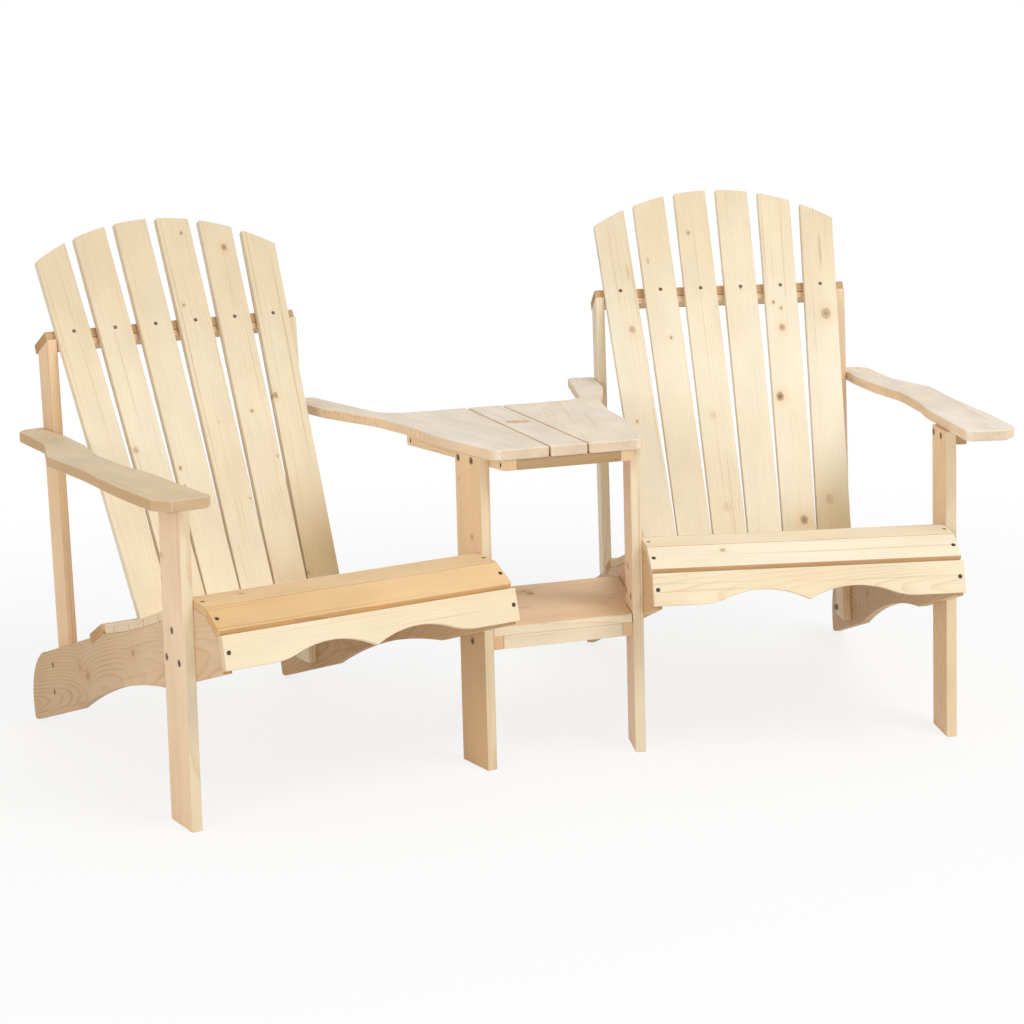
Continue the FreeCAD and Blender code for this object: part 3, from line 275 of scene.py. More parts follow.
# From one ring to the next: pale early wood that darkens to a thin line of late wood
RING_PROFILE = ((0.0, 0.0), (0.4, 0.05), (0.72, 0.35), (0.88, 1.0), (0.95, 0.8), (1.0, 0.0))
RING_CHANGE = 0.23  # how soon narrow rings follow wide ones
RING_UNEVENNESS = 1.6
FADE_SCALE = 5.0
FADE = (0.3, 0.75)
FADE_SHARE = 0.9
STAINED_RINGS = 0.6  # how much more the rings show where stain and painted shade darken the board
LEAST_RINGS = 0.2  # how much they show where they have faded

# A knot's parts, in its radii. Each fades from its first distance to its second.
KNOT_SQUEEZE = 0.8  # a knot's width as a share of its length along the board
KNOT_PITH = (0.1, 0.45)
KNOT_TURN, KNOT_TURN_STEP = 0.3, (0.1, 0.45)
KNOT_CORE = (0.5, 1.0)
KNOT_LIMIT = (1.0, 1.1)
KNOT_RIM, KNOT_RIM_WIDTH = 0.9, 0.35
KNOT_HALO = (0.8, 3.6)
KNOT_SWELL, KNOT_SWELL_WIDTH = 2.2, 2.8

BLUR = 0.005  # metres by which the outlines of knots and marks waver
BLUR_SCALE = 170.0
STAIN_BLUR = 0.08
MARK_CORE = 0.3  # share of a mark's half width that is full dark
POCKET_SHADE = (0.0044, 0.00825)  # painted shade in the pocket round a bolt's head fades between these

# Values of its noise, or of a face's facing, from which each thing shows and shows in full
WARM_STEP = (0.3, 0.8)
LINE_STEP = (0.6, 0.74)
DASH_STEP = (0.7, 0.82)
EDGE_STEP = (0.6, 0.95)
SAWN_STEP = (0.8, 0.93)

# How strongly each thing shows, from 0 to 1
WARM_SHARE = 0.3
LINE_SHARE = 0.45
DASH_SHARE = 0.3
FIBRE_LIGHT = 0.16
TONE_LIGHT = 0.3
UNSTAINED_EDGE = 0.6
POCKET_SHADE_SHARE = 0.8
HALO_SHARE = 0.5
PITH_SHARE = 0.8
TURN_SHARE = 0.4
RIM_SHARE = 0.55
SAWN_SHARE = 0.6

# How rough the surface is, and what fibres, sawing and late wood add to it or take from it
PLANED_ROUGHNESS = 0.58
FIBRE_ROUGHNESS = 0.2
SAWN_ROUGHNESS = 0.2
RING_GLOSS = 0.08
SAWN_GRIT = 900.0  # grains per metre
GRAIN_BUMP = {"Strength": 0.3, "Distance": 0.0004}


class Board:
    """How one board was cut: the way its grain runs and what shows on its faces.

    Knots are (along, across, radius, strength) and marks are (along, across,
    half length, half width, strength), in metres from the board's middle and
    from 0, unseen, to 1, dark. A stain is (start, end, strength) along the board:
    a browner stretch, which is real stain on some boards and painted shade on
    others. A hollow is (along, across), where painted shade darkens the pocket
    round a bolt's head. Row is the width that each of several like boards in
    one node takes up.
    """

    def __init__(self, node, along, across, **cut):
        chance = random.Random(node)
        self.node = node
        self.along = along.normalized()
        self.normal = self.along.cross(across).normalized()
        self.across = self.normal.cross(self.along)
        self.origin = cut.get("origin", middle(node))
        self.seed = chance.uniform(0, 40)
        if cut.get("flat_sawn", chance.random() < FLAT_SAWN_SHARE):
            # the heart line lies under the face and rises to it
            self.heart = (chance.uniform(-0.02, 0.02), -chance.uniform(0.03, 0.07))
            self.drift = (chance.uniform(-0.02, 0.02), chance.uniform(0.04, 0.08))
        else:
            # the heart line lies beside the board
            aside = chance.choice((-1, 1)) * chance.uniform(0.05, 0.12)
            self.heart = (aside, -chance.uniform(0, 0.03))
            self.drift = (chance.uniform(-0.012, 0.012), chance.uniform(-0.02, 0.02))
        self.spacing = cut.get("spacing", chance.uniform(0.0028, 0.0048))
        self.contrast = cut.get("contrast", chance.uniform(0.25, 0.5))
        self.warmth = cut.get("warmth", chance.uniform(0.0, 0.3))
        self.shade = cut.get("shade", chance.uniform(0.97, 1.01))
        self.wood = cut.get("wood", "cream")
        self.edge_wood = cut.get("edge_wood", "tan")
        self.clouds = cut.get("clouds", 0.2)
        self.knots = cut.get("knots", ())
        self.marks = cut.get("marks", ())
        self.stains = cut.get("stains", ())
        self.hollows = cut.get("hollows", ())
        self.row = cut.get("row")

    def turn(self):
        columns = Matrix((self.along, self.across, self.normal)).transposed()
        return columns.to_euler("XYZ")


class Pine(Shader):
    """The shader of one board, cut from a log of pine.

    The log's growth rings are circles about its heart line, which runs beside
    the board and drifts along it. A flat-sawn face shows long pointed arches,
    other faces and the edges show straight lines, and the ends show arcs. A
    knot is a disc round which the rings swell.
    """

    def __init__(self, board):
        self.material = new_material(f"pine_{board.node}")
        super().__init__(self.material.node_tree)
        self.board = board
        self.coordinates = self.add("ShaderNodeTexCoord")
        self.lay_out()
        self.add_log()
        self.add_knots()
        self.add_marks()
        self.add_rings()
        self.add_fibres()
        self.close()

    def lay_out(self):
        """Find the place along the board, across it and through its thickness."""
        board = self.board
        place = {
            "Vector": self.coordinates.outputs["Object"],
            "Location": board.origin,
            "Rotation": board.turn(),
        }
        mapping = self.add("ShaderNodeMapping", {"vector_type": "TEXTURE"}, place)
        self.along, self.across, self.depth = self.separate(mapping.outputs[0])
        self.heart = board.heart
        self.shift = board.seed
        self.tone_step = 0.0
        if board.row is not None:
            self.part_row()
        self.spot = self.combine(self.along, self.across, self.depth)
        self.far = self.combine(
            self.along + self.shift, self.across * WANDER_SQUEEZE, self.depth * WANDER_SQUEEZE
        )
        self.blur = (self.noise(self.spot, BLUR_SCALE, 3.0, 0.6) - 0.5) * BLUR

    def part_row(self):
        """Give each of several like boards in one node its own part of the log."""
        row, seed = self.board.row, self.board.seed
        number = (self.across / row).floor()
        settings = {"noise_dimensions": "1D"}
        chance = self.add("ShaderNodeTexWhiteNoise", settings, {"W": number + seed})
        first, second, third = self.separate(chance.outputs["Color"])
        self.across = self.across - (number + 0.5) * row
        self.heart = ((first - 0.5) * ROW_HEARTS, -ROW_DEPTH - ROW_DEPTHS * second)
        self.shift = third * ROW_LENGTH + seed
        self.tone_step = (first - 0.5) * ROW_TONES

    def streaks(self, streak):
        """Noise that is drawn out along the board."""
        place = self.combine(
            (self.along + self.shift) * streak.lengthwise,
            self.across * streak.crosswise,
            self.depth * streak.crosswise,
        )
        return self.noise(place, 1.0, streak.detail, streak.roughness)

    def add_log(self):
        """Distance from the heart line, which drifts and sways, and the rings' ripples on it."""
        inputs = {"Vector": self.far, "Scale": WANDER, "Detail": 1.0}
        wander = self.add("ShaderNodeTexNoise", None, inputs)
        self.sway, heave, self.tone = self.separate(wander.outputs["Color"])
        heart_across, heart_depth = self.heart
        drift_across, drift_depth = self.board.drift
        side = self.across - heart_across - drift_across * self.along
        side = side + (self.sway - 0.5) * HEART_SWAY
        below = self.depth - heart_depth + drift_depth * self.along
        below = below + (heave - 0.5) * HEART_HEAVE
        ripple = (self.streaks(RIPPLES) - 0.5) * RIPPLE
        self.radius = (side * side + below * below).root() + ripple

    def disc(self, reach, size, limits):
        """1 in a disc, with a soft edge between its two limits, which are in radii."""
        return self.inside(reach, size * limits[0], size * limits[1])

    def add_knots(self):
        """Discs with a dark pith and dark turns, a darker rim and a warm halo."""
        self.knot_dark = 0.0
        cores, rims, halos = [], [], []
        flat = self.combine(self.along * KNOT_SQUEEZE, self.across, 0.0)
        for along, across, size, strength in self.board.knots:
            reach = self.distance(flat, (along * KNOT_SQUEEZE, across, 0.0)) + self.blur
            swell = (reach / (size * KNOT_SWELL_WIDTH)) ** 2.0 + 1.0
            self.radius = self.radius + size * KNOT_SWELL / swell
            pith = self.disc(reach, size, KNOT_PITH)
            from_turn = abs((reach / (size * KNOT_TURN)).fraction() - 0.5)
            dark = pith * PITH_SHARE + self.smooth(from_turn, *KNOT_TURN_STEP) * TURN_SHARE
            self.knot_dark = dark * self.disc(reach, size, KNOT_LIMIT) + self.knot_dark
            from_rim = abs(reach - size * KNOT_RIM)
            cores.append(self.disc(reach, size, KNOT_CORE) * strength)
            rims.append(self.inside(from_rim, 0.0, size * KNOT_RIM_WIDTH) * strength)
            halos.append(self.disc(reach, size, KNOT_HALO) * strength)
        self.knot_core, self.knot_rim, self.knot_halo = map(self.largest, (cores, rims, halos))

    def add_marks(self):
        """Streaks, cracks and dents, painted shade in the pockets round bolts, and browner
        stretches of stain and painted shade.
        """
        marks, pockets, stains = [], [], []
        for along, across, length, width, strength in self.board.marks:
            squeeze = width / length
            narrow = self.combine(self.along * squeeze, self.across + self.blur, 0.0)
            reach = self.distance(narrow, (along * squeeze, across, 0.0))
            marks.append(self.inside(reach, width * MARK_CORE, width) * strength)
        # Painted shade in the recess round each bolt's head
        for along, across in self.board.hollows:
            flat = self.combine(self.along, self.across, 0.0)
            pockets.append(self.inside(self.distance(flat, (along, across, 0.0)), *POCKET_SHADE))
        # Browner stretches along the board: real stain on some boards, painted shade on others
        for start, end, strength in self.board.stains:
            uneven = self.along + (self.sway - 0.5) * STAIN_BLUR
            stains.append(self.smooth(uneven, start, end) * strength)
        self.mark, self.pocket, self.stain = map(self.largest, (marks, pockets, stains))

    def add_rings(self):
        """Growth rings of uneven width, which fade in places and stand out in stains and painted
        shade.
        """
        count = self.radius / self.board.spacing
        uneven = self.noise(self.combine(count * RING_CHANGE, self.board.seed, 0.0), 1.0, 1.0)
        late = self.curve((count + uneven * RING_UNEVENNESS).fraction(), RING_PROFILE)
        fade = self.smooth(self.noise(self.far, FADE_SCALE, 2.0), *FADE)
        strength = fade * FADE_SHARE + self.stain * STAINED_RINGS + LEAST_RINGS
        self.rings = late * strength * self.board.contrast

    def add_fibres(self):
        """Fibres along the board, long ochre lines, short dark resin dashes and soft clouds."""
        self.fibre = self.streaks(FIBRES)
        self.line = self.smooth(self.streaks(OCHRE_LINES), *LINE_STEP)
        self.dash = self.smooth(self.streaks(RESIN_DASHES), *DASH_STEP)
        self.cloud = self.streaks(CLOUDS)

    def facing(self, axis):
        """How squarely a face looks along an axis, whichever way."""
        inputs = {0: self.coordinates.outputs["Normal"], 1: axis}
        node = self.add("ShaderNodeVectorMath", {"operation": "DOT_PRODUCT"}, inputs)
        return abs(self.wire(node.outputs["Value"]))

    def tint(self, name):
        return rgba(getattr(bpy.context.scene.bench_pine, name))

    def cover(self, colour, share, name):
        """Lay one of the pine's colours over what is there."""
        return self.mix(share, colour, self.tint(name))

    def cast(self, colour, share, name):
        """Multiply what is there by one of the pine's colours."""
        return self.mix(share, colour, self.tint(name), "MULTIPLY")

    def colour(self, edge, sawn):
        """Early wood, with everything that grew in it or came on it, and painted shade, cast over
        it in turn.
        """
        board = self.board
        colour = self.cover(self.tint(board.wood), edge, board.edge_wood)
        colour = self.cast(colour, self.rings, "ring")
        warm = self.smooth(self.tone + self.tone_step, *WARM_STEP) * WARM_SHARE + board.warmth
        colour = self.cast(colour, warm.smaller(1.0), "warm")
        # Browner stretches, real stain on some boards and painted shade on others, kept mostly off
        # the edges
        colour = self.cast(colour, self.stain * (1.0 - edge * UNSTAINED_EDGE), "stain")
        colour = self.cast(colour, self.line * LINE_SHARE, "ring")
        colour = self.cast(colour, self.dash * DASH_SHARE, "ring")
        light = (self.fibre - 0.5) * FIBRE_LIGHT + (self.cloud - 0.5) * board.clouds
        light = light + board.shade + self.tone_step * TONE_LIGHT
        colour = self.mix(1.0, colour, self.combine(light, light, light), "MULTIPLY")
        if board.marks:
            colour = self.cover(colour, self.mark, "resin")
        # Painted shade in the pockets round the bolts' heads
        if board.hollows:
            colour = self.cover(colour, self.pocket * POCKET_SHADE_SHARE, "knot_edge")
        if board.knots:
            colour = self.cast(colour, self.knot_halo * HALO_SHARE, "warm")
            knot = self.cover(self.tint("knot"), self.knot_dark.smaller(1.0), "knot_edge")
            colour = self.mix(self.knot_core, colour, knot)
            colour = self.cover(colour, self.knot_rim * RIM_SHARE, "knot_edge")
        return self.cast(colour, sawn * SAWN_SHARE, "end_grain")

    def close(self):
        """Tell the narrow edges and the rough sawn ends from the faces, and end the shader."""
        edge = self.smooth(self.facing(self.board.across), *EDGE_STEP)
        sawn = self.smooth(self.facing(self.board.along), *SAWN_STEP)
        grit = self.noise(self.spot, SAWN_GRIT, 2.0) * sawn
        height = self.fibre * 0.5 + self.rings * 0.5 + grit
        rough = PLANED_ROUGHNESS + (self.fibre - 0.5) * FIBRE_ROUGHNESS
        rough = rough + sawn * SAWN_ROUGHNESS - self.rings * RING_GLOSS
        inputs = {
            "Base Color": self.colour(edge, sawn),
            "Roughness": rough,
            "Specular IOR Level": 0.35,
        }
        self.surface({**GRAIN_BUMP, "Height": height}, inputs)


def finish(node, material):
    """Put a material in every slot of a node that keeps its CAD shape."""
    piece = bpy.data.objects[node]
    if not piece.material_slots:
        piece.data.materials.append(material)
    for slot in piece.material_slots:
        slot.material = material


def finish_pine(node, along, across, **cut):
    """Finish a node as a board that is long in one direction and wide in another."""
    finish(node, Pine(Board(node, along, across, **cut)).material)


# What shows on the faces of single boards, read from the photograph

SLAT_KNOTS = {
    "left_2": ((-0.061, -0.026, 0.005, 0.5),),
    "left_3": ((-0.112, -0.024, 0.003, 0.8), (-0.146, -0.023, 0.002, 0.8)),
    "left_4": (
        (0.361, 0.012, 0.003, 0.9),
        (0.211, -0.017, 0.0025, 0.7),
        (-0.187, 0.026, 0.002, 0.6),
    ),
    "left_5": (
        (0.332, 0.009, 0.005, 0.9),
        (-0.01, -0.005, 0.003, 0.7),
        (-0.104, 0.028, 0.002, 0.8),
    ),
    "left_6": ((0.03, -0.027, 0.005, 0.8), (-0.326, -0.029, 0.003, 0.7)),
    "right_1": ((0.133, -0.011, 0.009, 0.7), (-0.262, 0.004, 0.008, 0.35)),
    "right_2": (
        (0.091, 0.002, 0.006, 0.7),
        (0.146, 0.016, 0.003, 0.9),
        (0.133, 0.001, 0.003, 0.7),
        (-0.058, 0.017, 0.007, 1.0),
        (-0.316, -0.012, 0.007, 0.9),
    ),
    "right_3": ((0.173, 0.0, 0.002, 0.7),),
    "right_4": (
        (0.302, 0.013, 0.003, 0.9),
        (-0.096, 0.006, 0.006, 0.2),
        (-0.288, 0.0, 0.008, 0.16),
    ),
    "right_5": ((0.079, -0.007, 0.003, 0.8),),
    "right_6": ((0.115, -0.01, 0.006, 0.55), (-0.081, 0.01, 0.003, 0.6)),
}
SLAT_MARKS = {
    "left_4": ((-0.03, -0.001, 0.004, 0.0015, 0.7),),
    "right_1": ((0.272, -0.006, 0.055, 0.004, 0.45), (0.36, 0.004, 0.02, 0.001, 0.7)),
    "right_5": ((0.25, 0.019, 0.01, 0.004, 0.5),),
    "right_6": ((0.24, -0.02, 0.03, 0.005, 0.3),),
}
# Browner lower ends of the slats next to an arm: painted shade that the arm beside them casts, with
# some browning of the wood itself
SLAT_SHADE_AND_STAINS = {
    "left_5": ((-0.22, -0.36, 0.5),),
    "left_6": ((-0.1, -0.3, 1.0),),
    "right_1": ((-0.12, -0.33, 1.0),),
    "right_2": ((-0.25, -0.36, 0.5),),
}
UPPER_STAIN = (-0.05, 0.4, 0.45)  # every back slat is a little browner towards its top
SLAT_CUTS = {"left": {"warmth": 0.2, "shade": 0.95}, "right": {"warmth": 0.05}}

BROW_CUTS = {
    "left": {
        "wood": "honey",
        "shade": 0.94,
        "contrast": 0.6,
        "knots": ((-0.193, 0.01, 0.004, 0.6), (0.278, 0.03, 0.008, 0.3)),
    },
    "right": {"wood": "cream", "warmth": 0.3},
}
NOSE_CUTS = {
    "left": {
        "wood": "honey",
        "edge_wood": "honey",
        "warmth": 0.35,
        "contrast": 0.5,
        "stains": ((0.2, -0.2, 0.3),),
    },
    "right": {"wood": "cream", "knots": ((0.142, 0.015, 0.004, 0.6),)},
}

RAIL_BOLTS = ((0.0505, 0.006), (0.0005, 0.032), (0.0005, -0.019))
LEG_BOLTS = {
    "outer": (*RAIL_BOLTS, (0.2685, -0.0113), (0.2685, 0.034)),
    "inner": (*RAIL_BOLTS, (0.271, -0.0131), (0.271, 0.032), (-0.0535, -0.001)),
}
LEG_CUTS = {
    "outer_leg_left": {"knots": ((0.173, 0.036, 0.004, 0.5), (0.132, 0.04, 0.003, 0.4))},
    "inner_leg_left": {
        # Darker lower part: painted shade under the seat
        "stains": ((0.06, 0.0, 0.75),),
        "knots": ((0.135, -0.009, 0.004, 0.6), (0.234, 0.03, 0.002, 0.6)),
    },
    "inner_leg_right": {},
    "outer_leg_right": {"warmth": 0.3, "stains": ((0.1, 0.04, 0.2),)},
}
RAIL_CUT = {
    "wood": "tan",
    "flat_sawn": True,
    "spacing": 0.0055,
    "contrast": 0.6,
    "knots": ((-0.155, 0.011, 0.008, 0.6), (0.087, 0.029, 0.006, 0.5), (-0.189, 0.03, 0.006, 0.4)),
    "stains": ((0.15, -0.2, 0.45),),
}

ARM_CUTS = {
    "left": {
        "warmth": 0.6,
        "shade": 0.86,
        "clouds": 0.3,
        "knots": ((-0.45, -0.06, 0.007, 0.5),),
    },
    "right": {"edge_wood": "blush", "clouds": 0.5, "warmth": 0.0},
}
TABLE_CUT = {"wood": "ash", "edge_wood": "blush", "clouds": 0.35, "warmth": 0.0}
SHELF_CUT = {
    "wood": "blush",
    "edge_wood": "wheat",
    "warmth": 0.1,
    "shade": 1.02,
    "flat_sawn": True,
    # Darker towards the right: painted shade under the table
    "stains": ((0.06, 0.19, 0.4),),
    "knots": ((0.007, 0.072, 0.011, 0.35),),
    "marks": ((0.116, -0.052, 0.014, 0.002, 0.7),),
}


class BENCH_OT_back_slats(bpy.types.Operator):
    """Finish the fan of back slats of both chairs"""

    bl_idname = "bench.back_slats"
    bl_label = "Back slats"

    def execute(self, context):
        for name, side in SIDES:
            across, _ = chair_axes(side)
            for number in range(1, BACK_SLATS + 1):
                place = f"{name}_{number}"
                lean = (number - (BACK_SLATS + 1) / 2) * FAN_STEP
                finish_pine(
                    f"back_slat_{place}",
                    in_profile(VERTICAL - RECLINE, side, lean),
                    across,
                    knots=SLAT_KNOTS.get(place, ()),
                    marks=SLAT_MARKS.get(place, ()),
                    stains=(*SLAT_SHADE_AND_STAINS.get(place, ()), UPPER_STAIN),
                    edge_wood="cream",
                    flat_sawn=False,
                    **SLAT_CUTS[name],
                )
        return {"FINISHED"}


class BENCH_OT_seats(bpy.types.Operator):
    """Finish the seat slats, with the tilted one and the sloping nose"""

    bl_idname = "bench.seats"
    bl_label = "Seats"

    def execute(self, context):
        for name, side in SIDES:
            across, _ = chair_axes(side)
            x, y, z = SEAT_FRONT
            start = Vector((-side * x, y, z)) + from_chair(0.0, SEAT_SETBACK, 0.0, side)
            hollow = in_profile(-RAIL_PITCH, side)
            finish_pine(f"seat_slats_{name}", across, hollow, origin=start, row=SEAT_PITCH)
            brow = in_profile(BROW_TILT, side)
            finish_pine(f"brow_slat_{name}", across, brow, **BROW_CUTS[name])
            nose = in_profile(NOSE_SLOPE, side)
            finish_pine(f"nose_slat_{name}", across, nose, **NOSE_CUTS[name])
        return {"FINISHED"}


class BENCH_OT_aprons(bpy.types.Operator):
    """Finish the scalloped aprons under the seats' front edges"""

    bl_idname = "bench.aprons"
    bl_label = "Aprons"

    def execute(self, context):
        for name, side in SIDES:
            across, _ = chair_axes(side)
            up = in_profile(VERTICAL - APRON_LEAN, side)
            finish_pine(f"apron_{name}", across, up, warmth=0.35, edge_wood="wheat")
        return {"FINISHED"}


class BENCH_OT_frames(bpy.types.Operator):
    """Finish the legs, the side rails and the rear posts"""

    bl_idname = "bench.frames"
    bl_label = "Frames"

    def execute(self, context):
        for name, side in SIDES:
            _, depth = chair_axes(side)
            slope = -in_profile(-RAIL_PITCH, side)
            lean = in_profile(VERTICAL - POST_LEAN, side)
            for place, post_wood in (("outer", "blush"), ("inner", "cream")):
                leg = f"{place}_leg_{name}"
                cut = {"wood": "blush", "edge_wood": "wheat", **LEG_CUTS[leg]}
                finish_pine(leg, UPRIGHT, depth, hollows=LEG_BOLTS[place], **cut)
                cut = {"wood": post_wood, "edge_wood": post_wood}
                finish_pine(f"{place}_post_{name}", lean, depth, **cut)
                finish_pine(f"{place}_rail_{name}", slope, UPRIGHT, **RAIL_CUT)
        return {"FINISHED"}


class BENCH_OT_supports(bpy.types.Operator):
    """Finish the supports and the battens that carry the backs and the arms"""

    bl_idname = "bench.supports"
    bl_label = "Supports and battens"

    def execute(self, context):
        pink = {"wood": "blush", "edge_wood": "blush"}
        # Both supports are darkened to a deep brown: painted shade for where they show in the
        # narrow gaps between the slats
        support = {"wood": "tan", "warmth": 0.6, "shade": 0.85}
        for name, side in SIDES:
            across, depth = chair_axes(side)
            behind = in_profile(-RECLINE, side)
            finish_pine(f"upper_back_support_{name}", across, behind, **support)
            finish_pine(f"lower_back_support_{name}", across, behind, **support)
            finish_pine(f"upper_back_batten_{name}", across, behind, **pink)
            finish_pine(f"arm_batten_{name}", depth, across, wood="tan", shade=0.75)
            finish_pine(f"table_batten_{name}", depth, across, **pink)
            finish_pine(f"shelf_batten_{name}", depth, across, **pink)
        for place in ("front", "rear"):
            # The table's front and rear strips are darkened: painted shade under the table's
            # overhang
            finish_pine(f"table_{place}_strip", WIDE, DEEP, warmth=0.7, shade=0.66)
            finish_pine(f"shelf_{place}_strip", WIDE, DEEP, wood="wheat", edge_wood="wheat")
        return {"FINISHED"}


class BENCH_OT_tops(bpy.types.Operator):
    """Finish the arms, the table boards and the shelf"""

    bl_idname = "bench.tops"
    bl_label = "Arms, table and shelf"

    def execute(self, context):
        for name, side in SIDES:
            across, depth = chair_axes(side)
            finish_pine(f"arm_{name}", depth, across, wood="ash", **ARM_CUTS[name])
            finish_pine(f"table_board_{name}", depth, across, **TABLE_CUT)
        finish_pine("table_board_centre", DEEP, WIDE, **TABLE_CUT)
        finish_pine("shelf", WIDE, DEEP, **SHELF_CUT)
        return {"FINISHED"}


class BENCH_OT_fasteners(bpy.types.Operator):
    """Finish the bolts, nuts and screws in dull zinc"""

    bl_idname = "bench.fasteners"
    bl_label = "Bolts and screws"

    cloud_scale = 420.0
    speck_scale = 1300.0
    speck_step = (0.5, 0.7)
    rubbed_roughness = 0.35
    clouded_roughness = 0.25
    bump = {"Strength": 0.2, "Distance": 0.0002}

    def execute(self, context):
        colours = context.scene.bench_steel
        bolt = self.zinc("dull_zinc", colours.bright, colours.dull)
        screw = self.zinc("dark_zinc", colours.dull, colours.dark)
        for node in ("frame_bolts_left", "frame_bolts_right"):
            finish(node, bolt)
        for node in ("wood_screws_left", "wood_screws_right", "table_screws"):
            finish(node, screw)
        return {"FINISHED"}

    def zinc(self, name, rubbed, darker):
        """Zinc that is clouded from rubbed to a darker colour, with darker specks; the colours are
        kept dark partly as painted shade in the sunk heads.
        """
        material = new_material(name)
        shader = Shader(material.node_tree)
        spot = shader.add("ShaderNodeTexCoord").outputs["Object"]
        cloud = shader.noise(spot, self.cloud_scale, 3.0, 0.6)
        speck = shader.smooth(shader.noise(spot, self.speck_scale, 2.0), *self.speck_step)
        colour = shader.mix(cloud, rgba(rubbed), rgba(darker))
        colour = shader.mix(speck * 0.5, colour, rgba(darker))
        rough = cloud * self.clouded_roughness + self.rubbed_roughness
        inputs = {"Base Color": colour, "Metallic": 1.0, "Roughness": rough}
        shader.surface({**self.bump, "Height": cloud}, inputs)
        return material


# Stage

FLOOR_HALF_WIDTH = 9.0
FLOOR_ROWS = 9
FLOOR_FADE = (1.1, 2.6)  # distances from the bench between which the floor turns plain white
WHITE = (1.0, 1.0, 1.0, 1.0)
LAMP_TARGET = Vector((0.0, 0.0, 0.4))
KEY_TINT = (1.0, 0.99, 0.97)
FILL_TINT = (1.0, 0.99, 0.98)
SENSOR_WIDTH = 36.0  # millimetres


def floor_surface(half_width, rows):
    """A level grid: x = half_width * s, y = half_width * t, z = 0 for s, t in -1..1."""
    steps = np.linspace(-1.0, 1.0, rows)
    s, t = np.meshgrid(steps, steps, indexing="ij")
    points = np.stack((s * half_width, t * half_width, np.zeros_like(s)), axis=-1)
    index = np.arange(rows * rows).reshape(rows, rows)
    corners = (index[:-1, :-1], index[1:, :-1], index[1:, 1:], index[:-1, 1:])
    faces = np.stack(corners, axis=-1).reshape(-1, 4)
    mesh = bpy.data.meshes.new("studio_floor")
    mesh.from_pydata(points.reshape(-1, 3).tolist(), [], faces.tolist())
    return mesh


def add_lamp(name, place, size, energy, tint):
    """A round soft lamp, aimed at the middle of the bench."""
    lamp = bpy.data.lights.new(name, "AREA")
    lamp.shape = "DISK"
    lamp.size = size
    lamp.energy = energy
    lamp.color = tint
    holder = bpy.data.objects.new(name, lamp)
    turn = (LAMP_TARGET - Vector(place)).to_track_quat("-Z", "Y").to_matrix().to_4x4()
    holder.matrix_world = Matrix.Translation(place) @ turn
    bpy.context.scene.collection.objects.link(holder)


class BENCH_OT_stage(bpy.types.Operator):
    """Add the pale floor, the soft lamps and the camera"""

    bl_idname = "bench.stage"
    bl_label = "Studio"

    def execute(self, context):
        settings = context.scene.bench_stage
        self.add_floor(settings)
        self.add_world(settings)
        self.add_camera(settings)
        add_lamp("key_lamp", settings.key_place, settings.key_size, settings.key, KEY_TINT)
        add_lamp("fill_lamp", settings.fill_place, settings.fill_size, settings.fill, FILL_TINT)
        context.scene.view_settings.view_transform = "Standard"
        return {"FINISHED"}

    def add_floor(self, settings):
        """Nearly white paper with the bench's faint shadow, which fades to plain white."""
        mesh = floor_surface(FLOOR_HALF_WIDTH, FLOOR_ROWS)
        floor = bpy.data.objects.new("studio_floor", mesh)
        bpy.context.scene.collection.objects.link(floor)
        material = new_material("studio_paper")
        shader = Shader(material.node_tree)
        spot = shader.add("ShaderNodeTexCoord").outputs["Object"]
        far = shader.smooth(shader.distance(spot, (0.0, 0.0, 0.0)), *FLOOR_FADE)
        white = far * (1.0 - settings.paper_white) + settings.paper_white
        paper = shader.add("ShaderNodeBsdfDiffuse", None, {"Color": rgba(settings.floor_colour)})
        plain = shader.add("ShaderNodeEmission", None, {"Color": WHITE})
        layers = {0: shader.seen() * white, 1: paper.outputs[0], 2: plain.outputs[0]}
        both = shader.add("ShaderNodeMixShader", None, layers)
        shader.add("ShaderNodeOutputMaterial", None, {"Surface": both.outputs[0]})
        mesh.materials.append(material)

    def add_world(self, settings):
        """White where it is seen, and a plain soft light elsewhere."""
        world = bpy.data.worlds.new("studio_air")
        world.use_nodes = True
        bpy.context.scene.world = world
        shader = Shader(world.node_tree)
        strength = shader.seen() * (1.0 - settings.ambient) + settings.ambient
        air = shader.add("ShaderNodeBackground", None, {"Color": WHITE, "Strength": strength})
        shader.add("ShaderNodeOutputWorld", None, {"Surface": air.outputs[0]})

    def add_camera(self, settings):
        """Ahead is azimuth from +Y to +X and pitch down; right and down are turned by the roll."""
        data = bpy.data.cameras.new("photo_camera")
        data.lens = settings.lens
        data.sensor_width = SENSOR_WIDTH
        data.shift_x, data.shift_y = settings.shift
        azimuth, pitch, roll = settings.azimuth, settings.pitch, settings.roll
        ahead = Vector(
            (
                math.sin(azimuth) * math.cos(pitch),
                math.cos(azimuth) * math.cos(pitch),
                -math.sin(pitch),
            )
        )
        level = Vector((math.cos(azimuth), -math.sin(azimuth), 0.0))
        under = ahead.cross(level)
        right = level * math.cos(roll) + under * math.sin(roll)
        down = under * math.cos(roll) - level * math.sin(roll)
        turn = Matrix((right, -down, -ahead)).transposed().to_4x4()
        camera = bpy.data.objects.new("photo_camera", data)
        camera.matrix_world = Matrix.Translation(Vector(settings.eye)) @ turn
        bpy.context.scene.collection.objects.link(camera)
        bpy.context.scene.camera = camera


# Settings


def colour_setting(name, description, default):
    return FloatVectorProperty(
        name=name, description=description, default=default, subtype="COLOR", min=0.0, max=1.0
    )


def place_setting(name, description, default):
    return FloatVectorProperty(
        name=name, description=description, default=default, subtype="TRANSLATION"
    )


def angle_setting(name, description, default):
    return FloatProperty(name=name, description=description, default=default, subtype="ANGLE")


def number_setting(name, description, default, unit="NONE"):
    return FloatProperty(name=name, description=description, default=default, unit=unit)


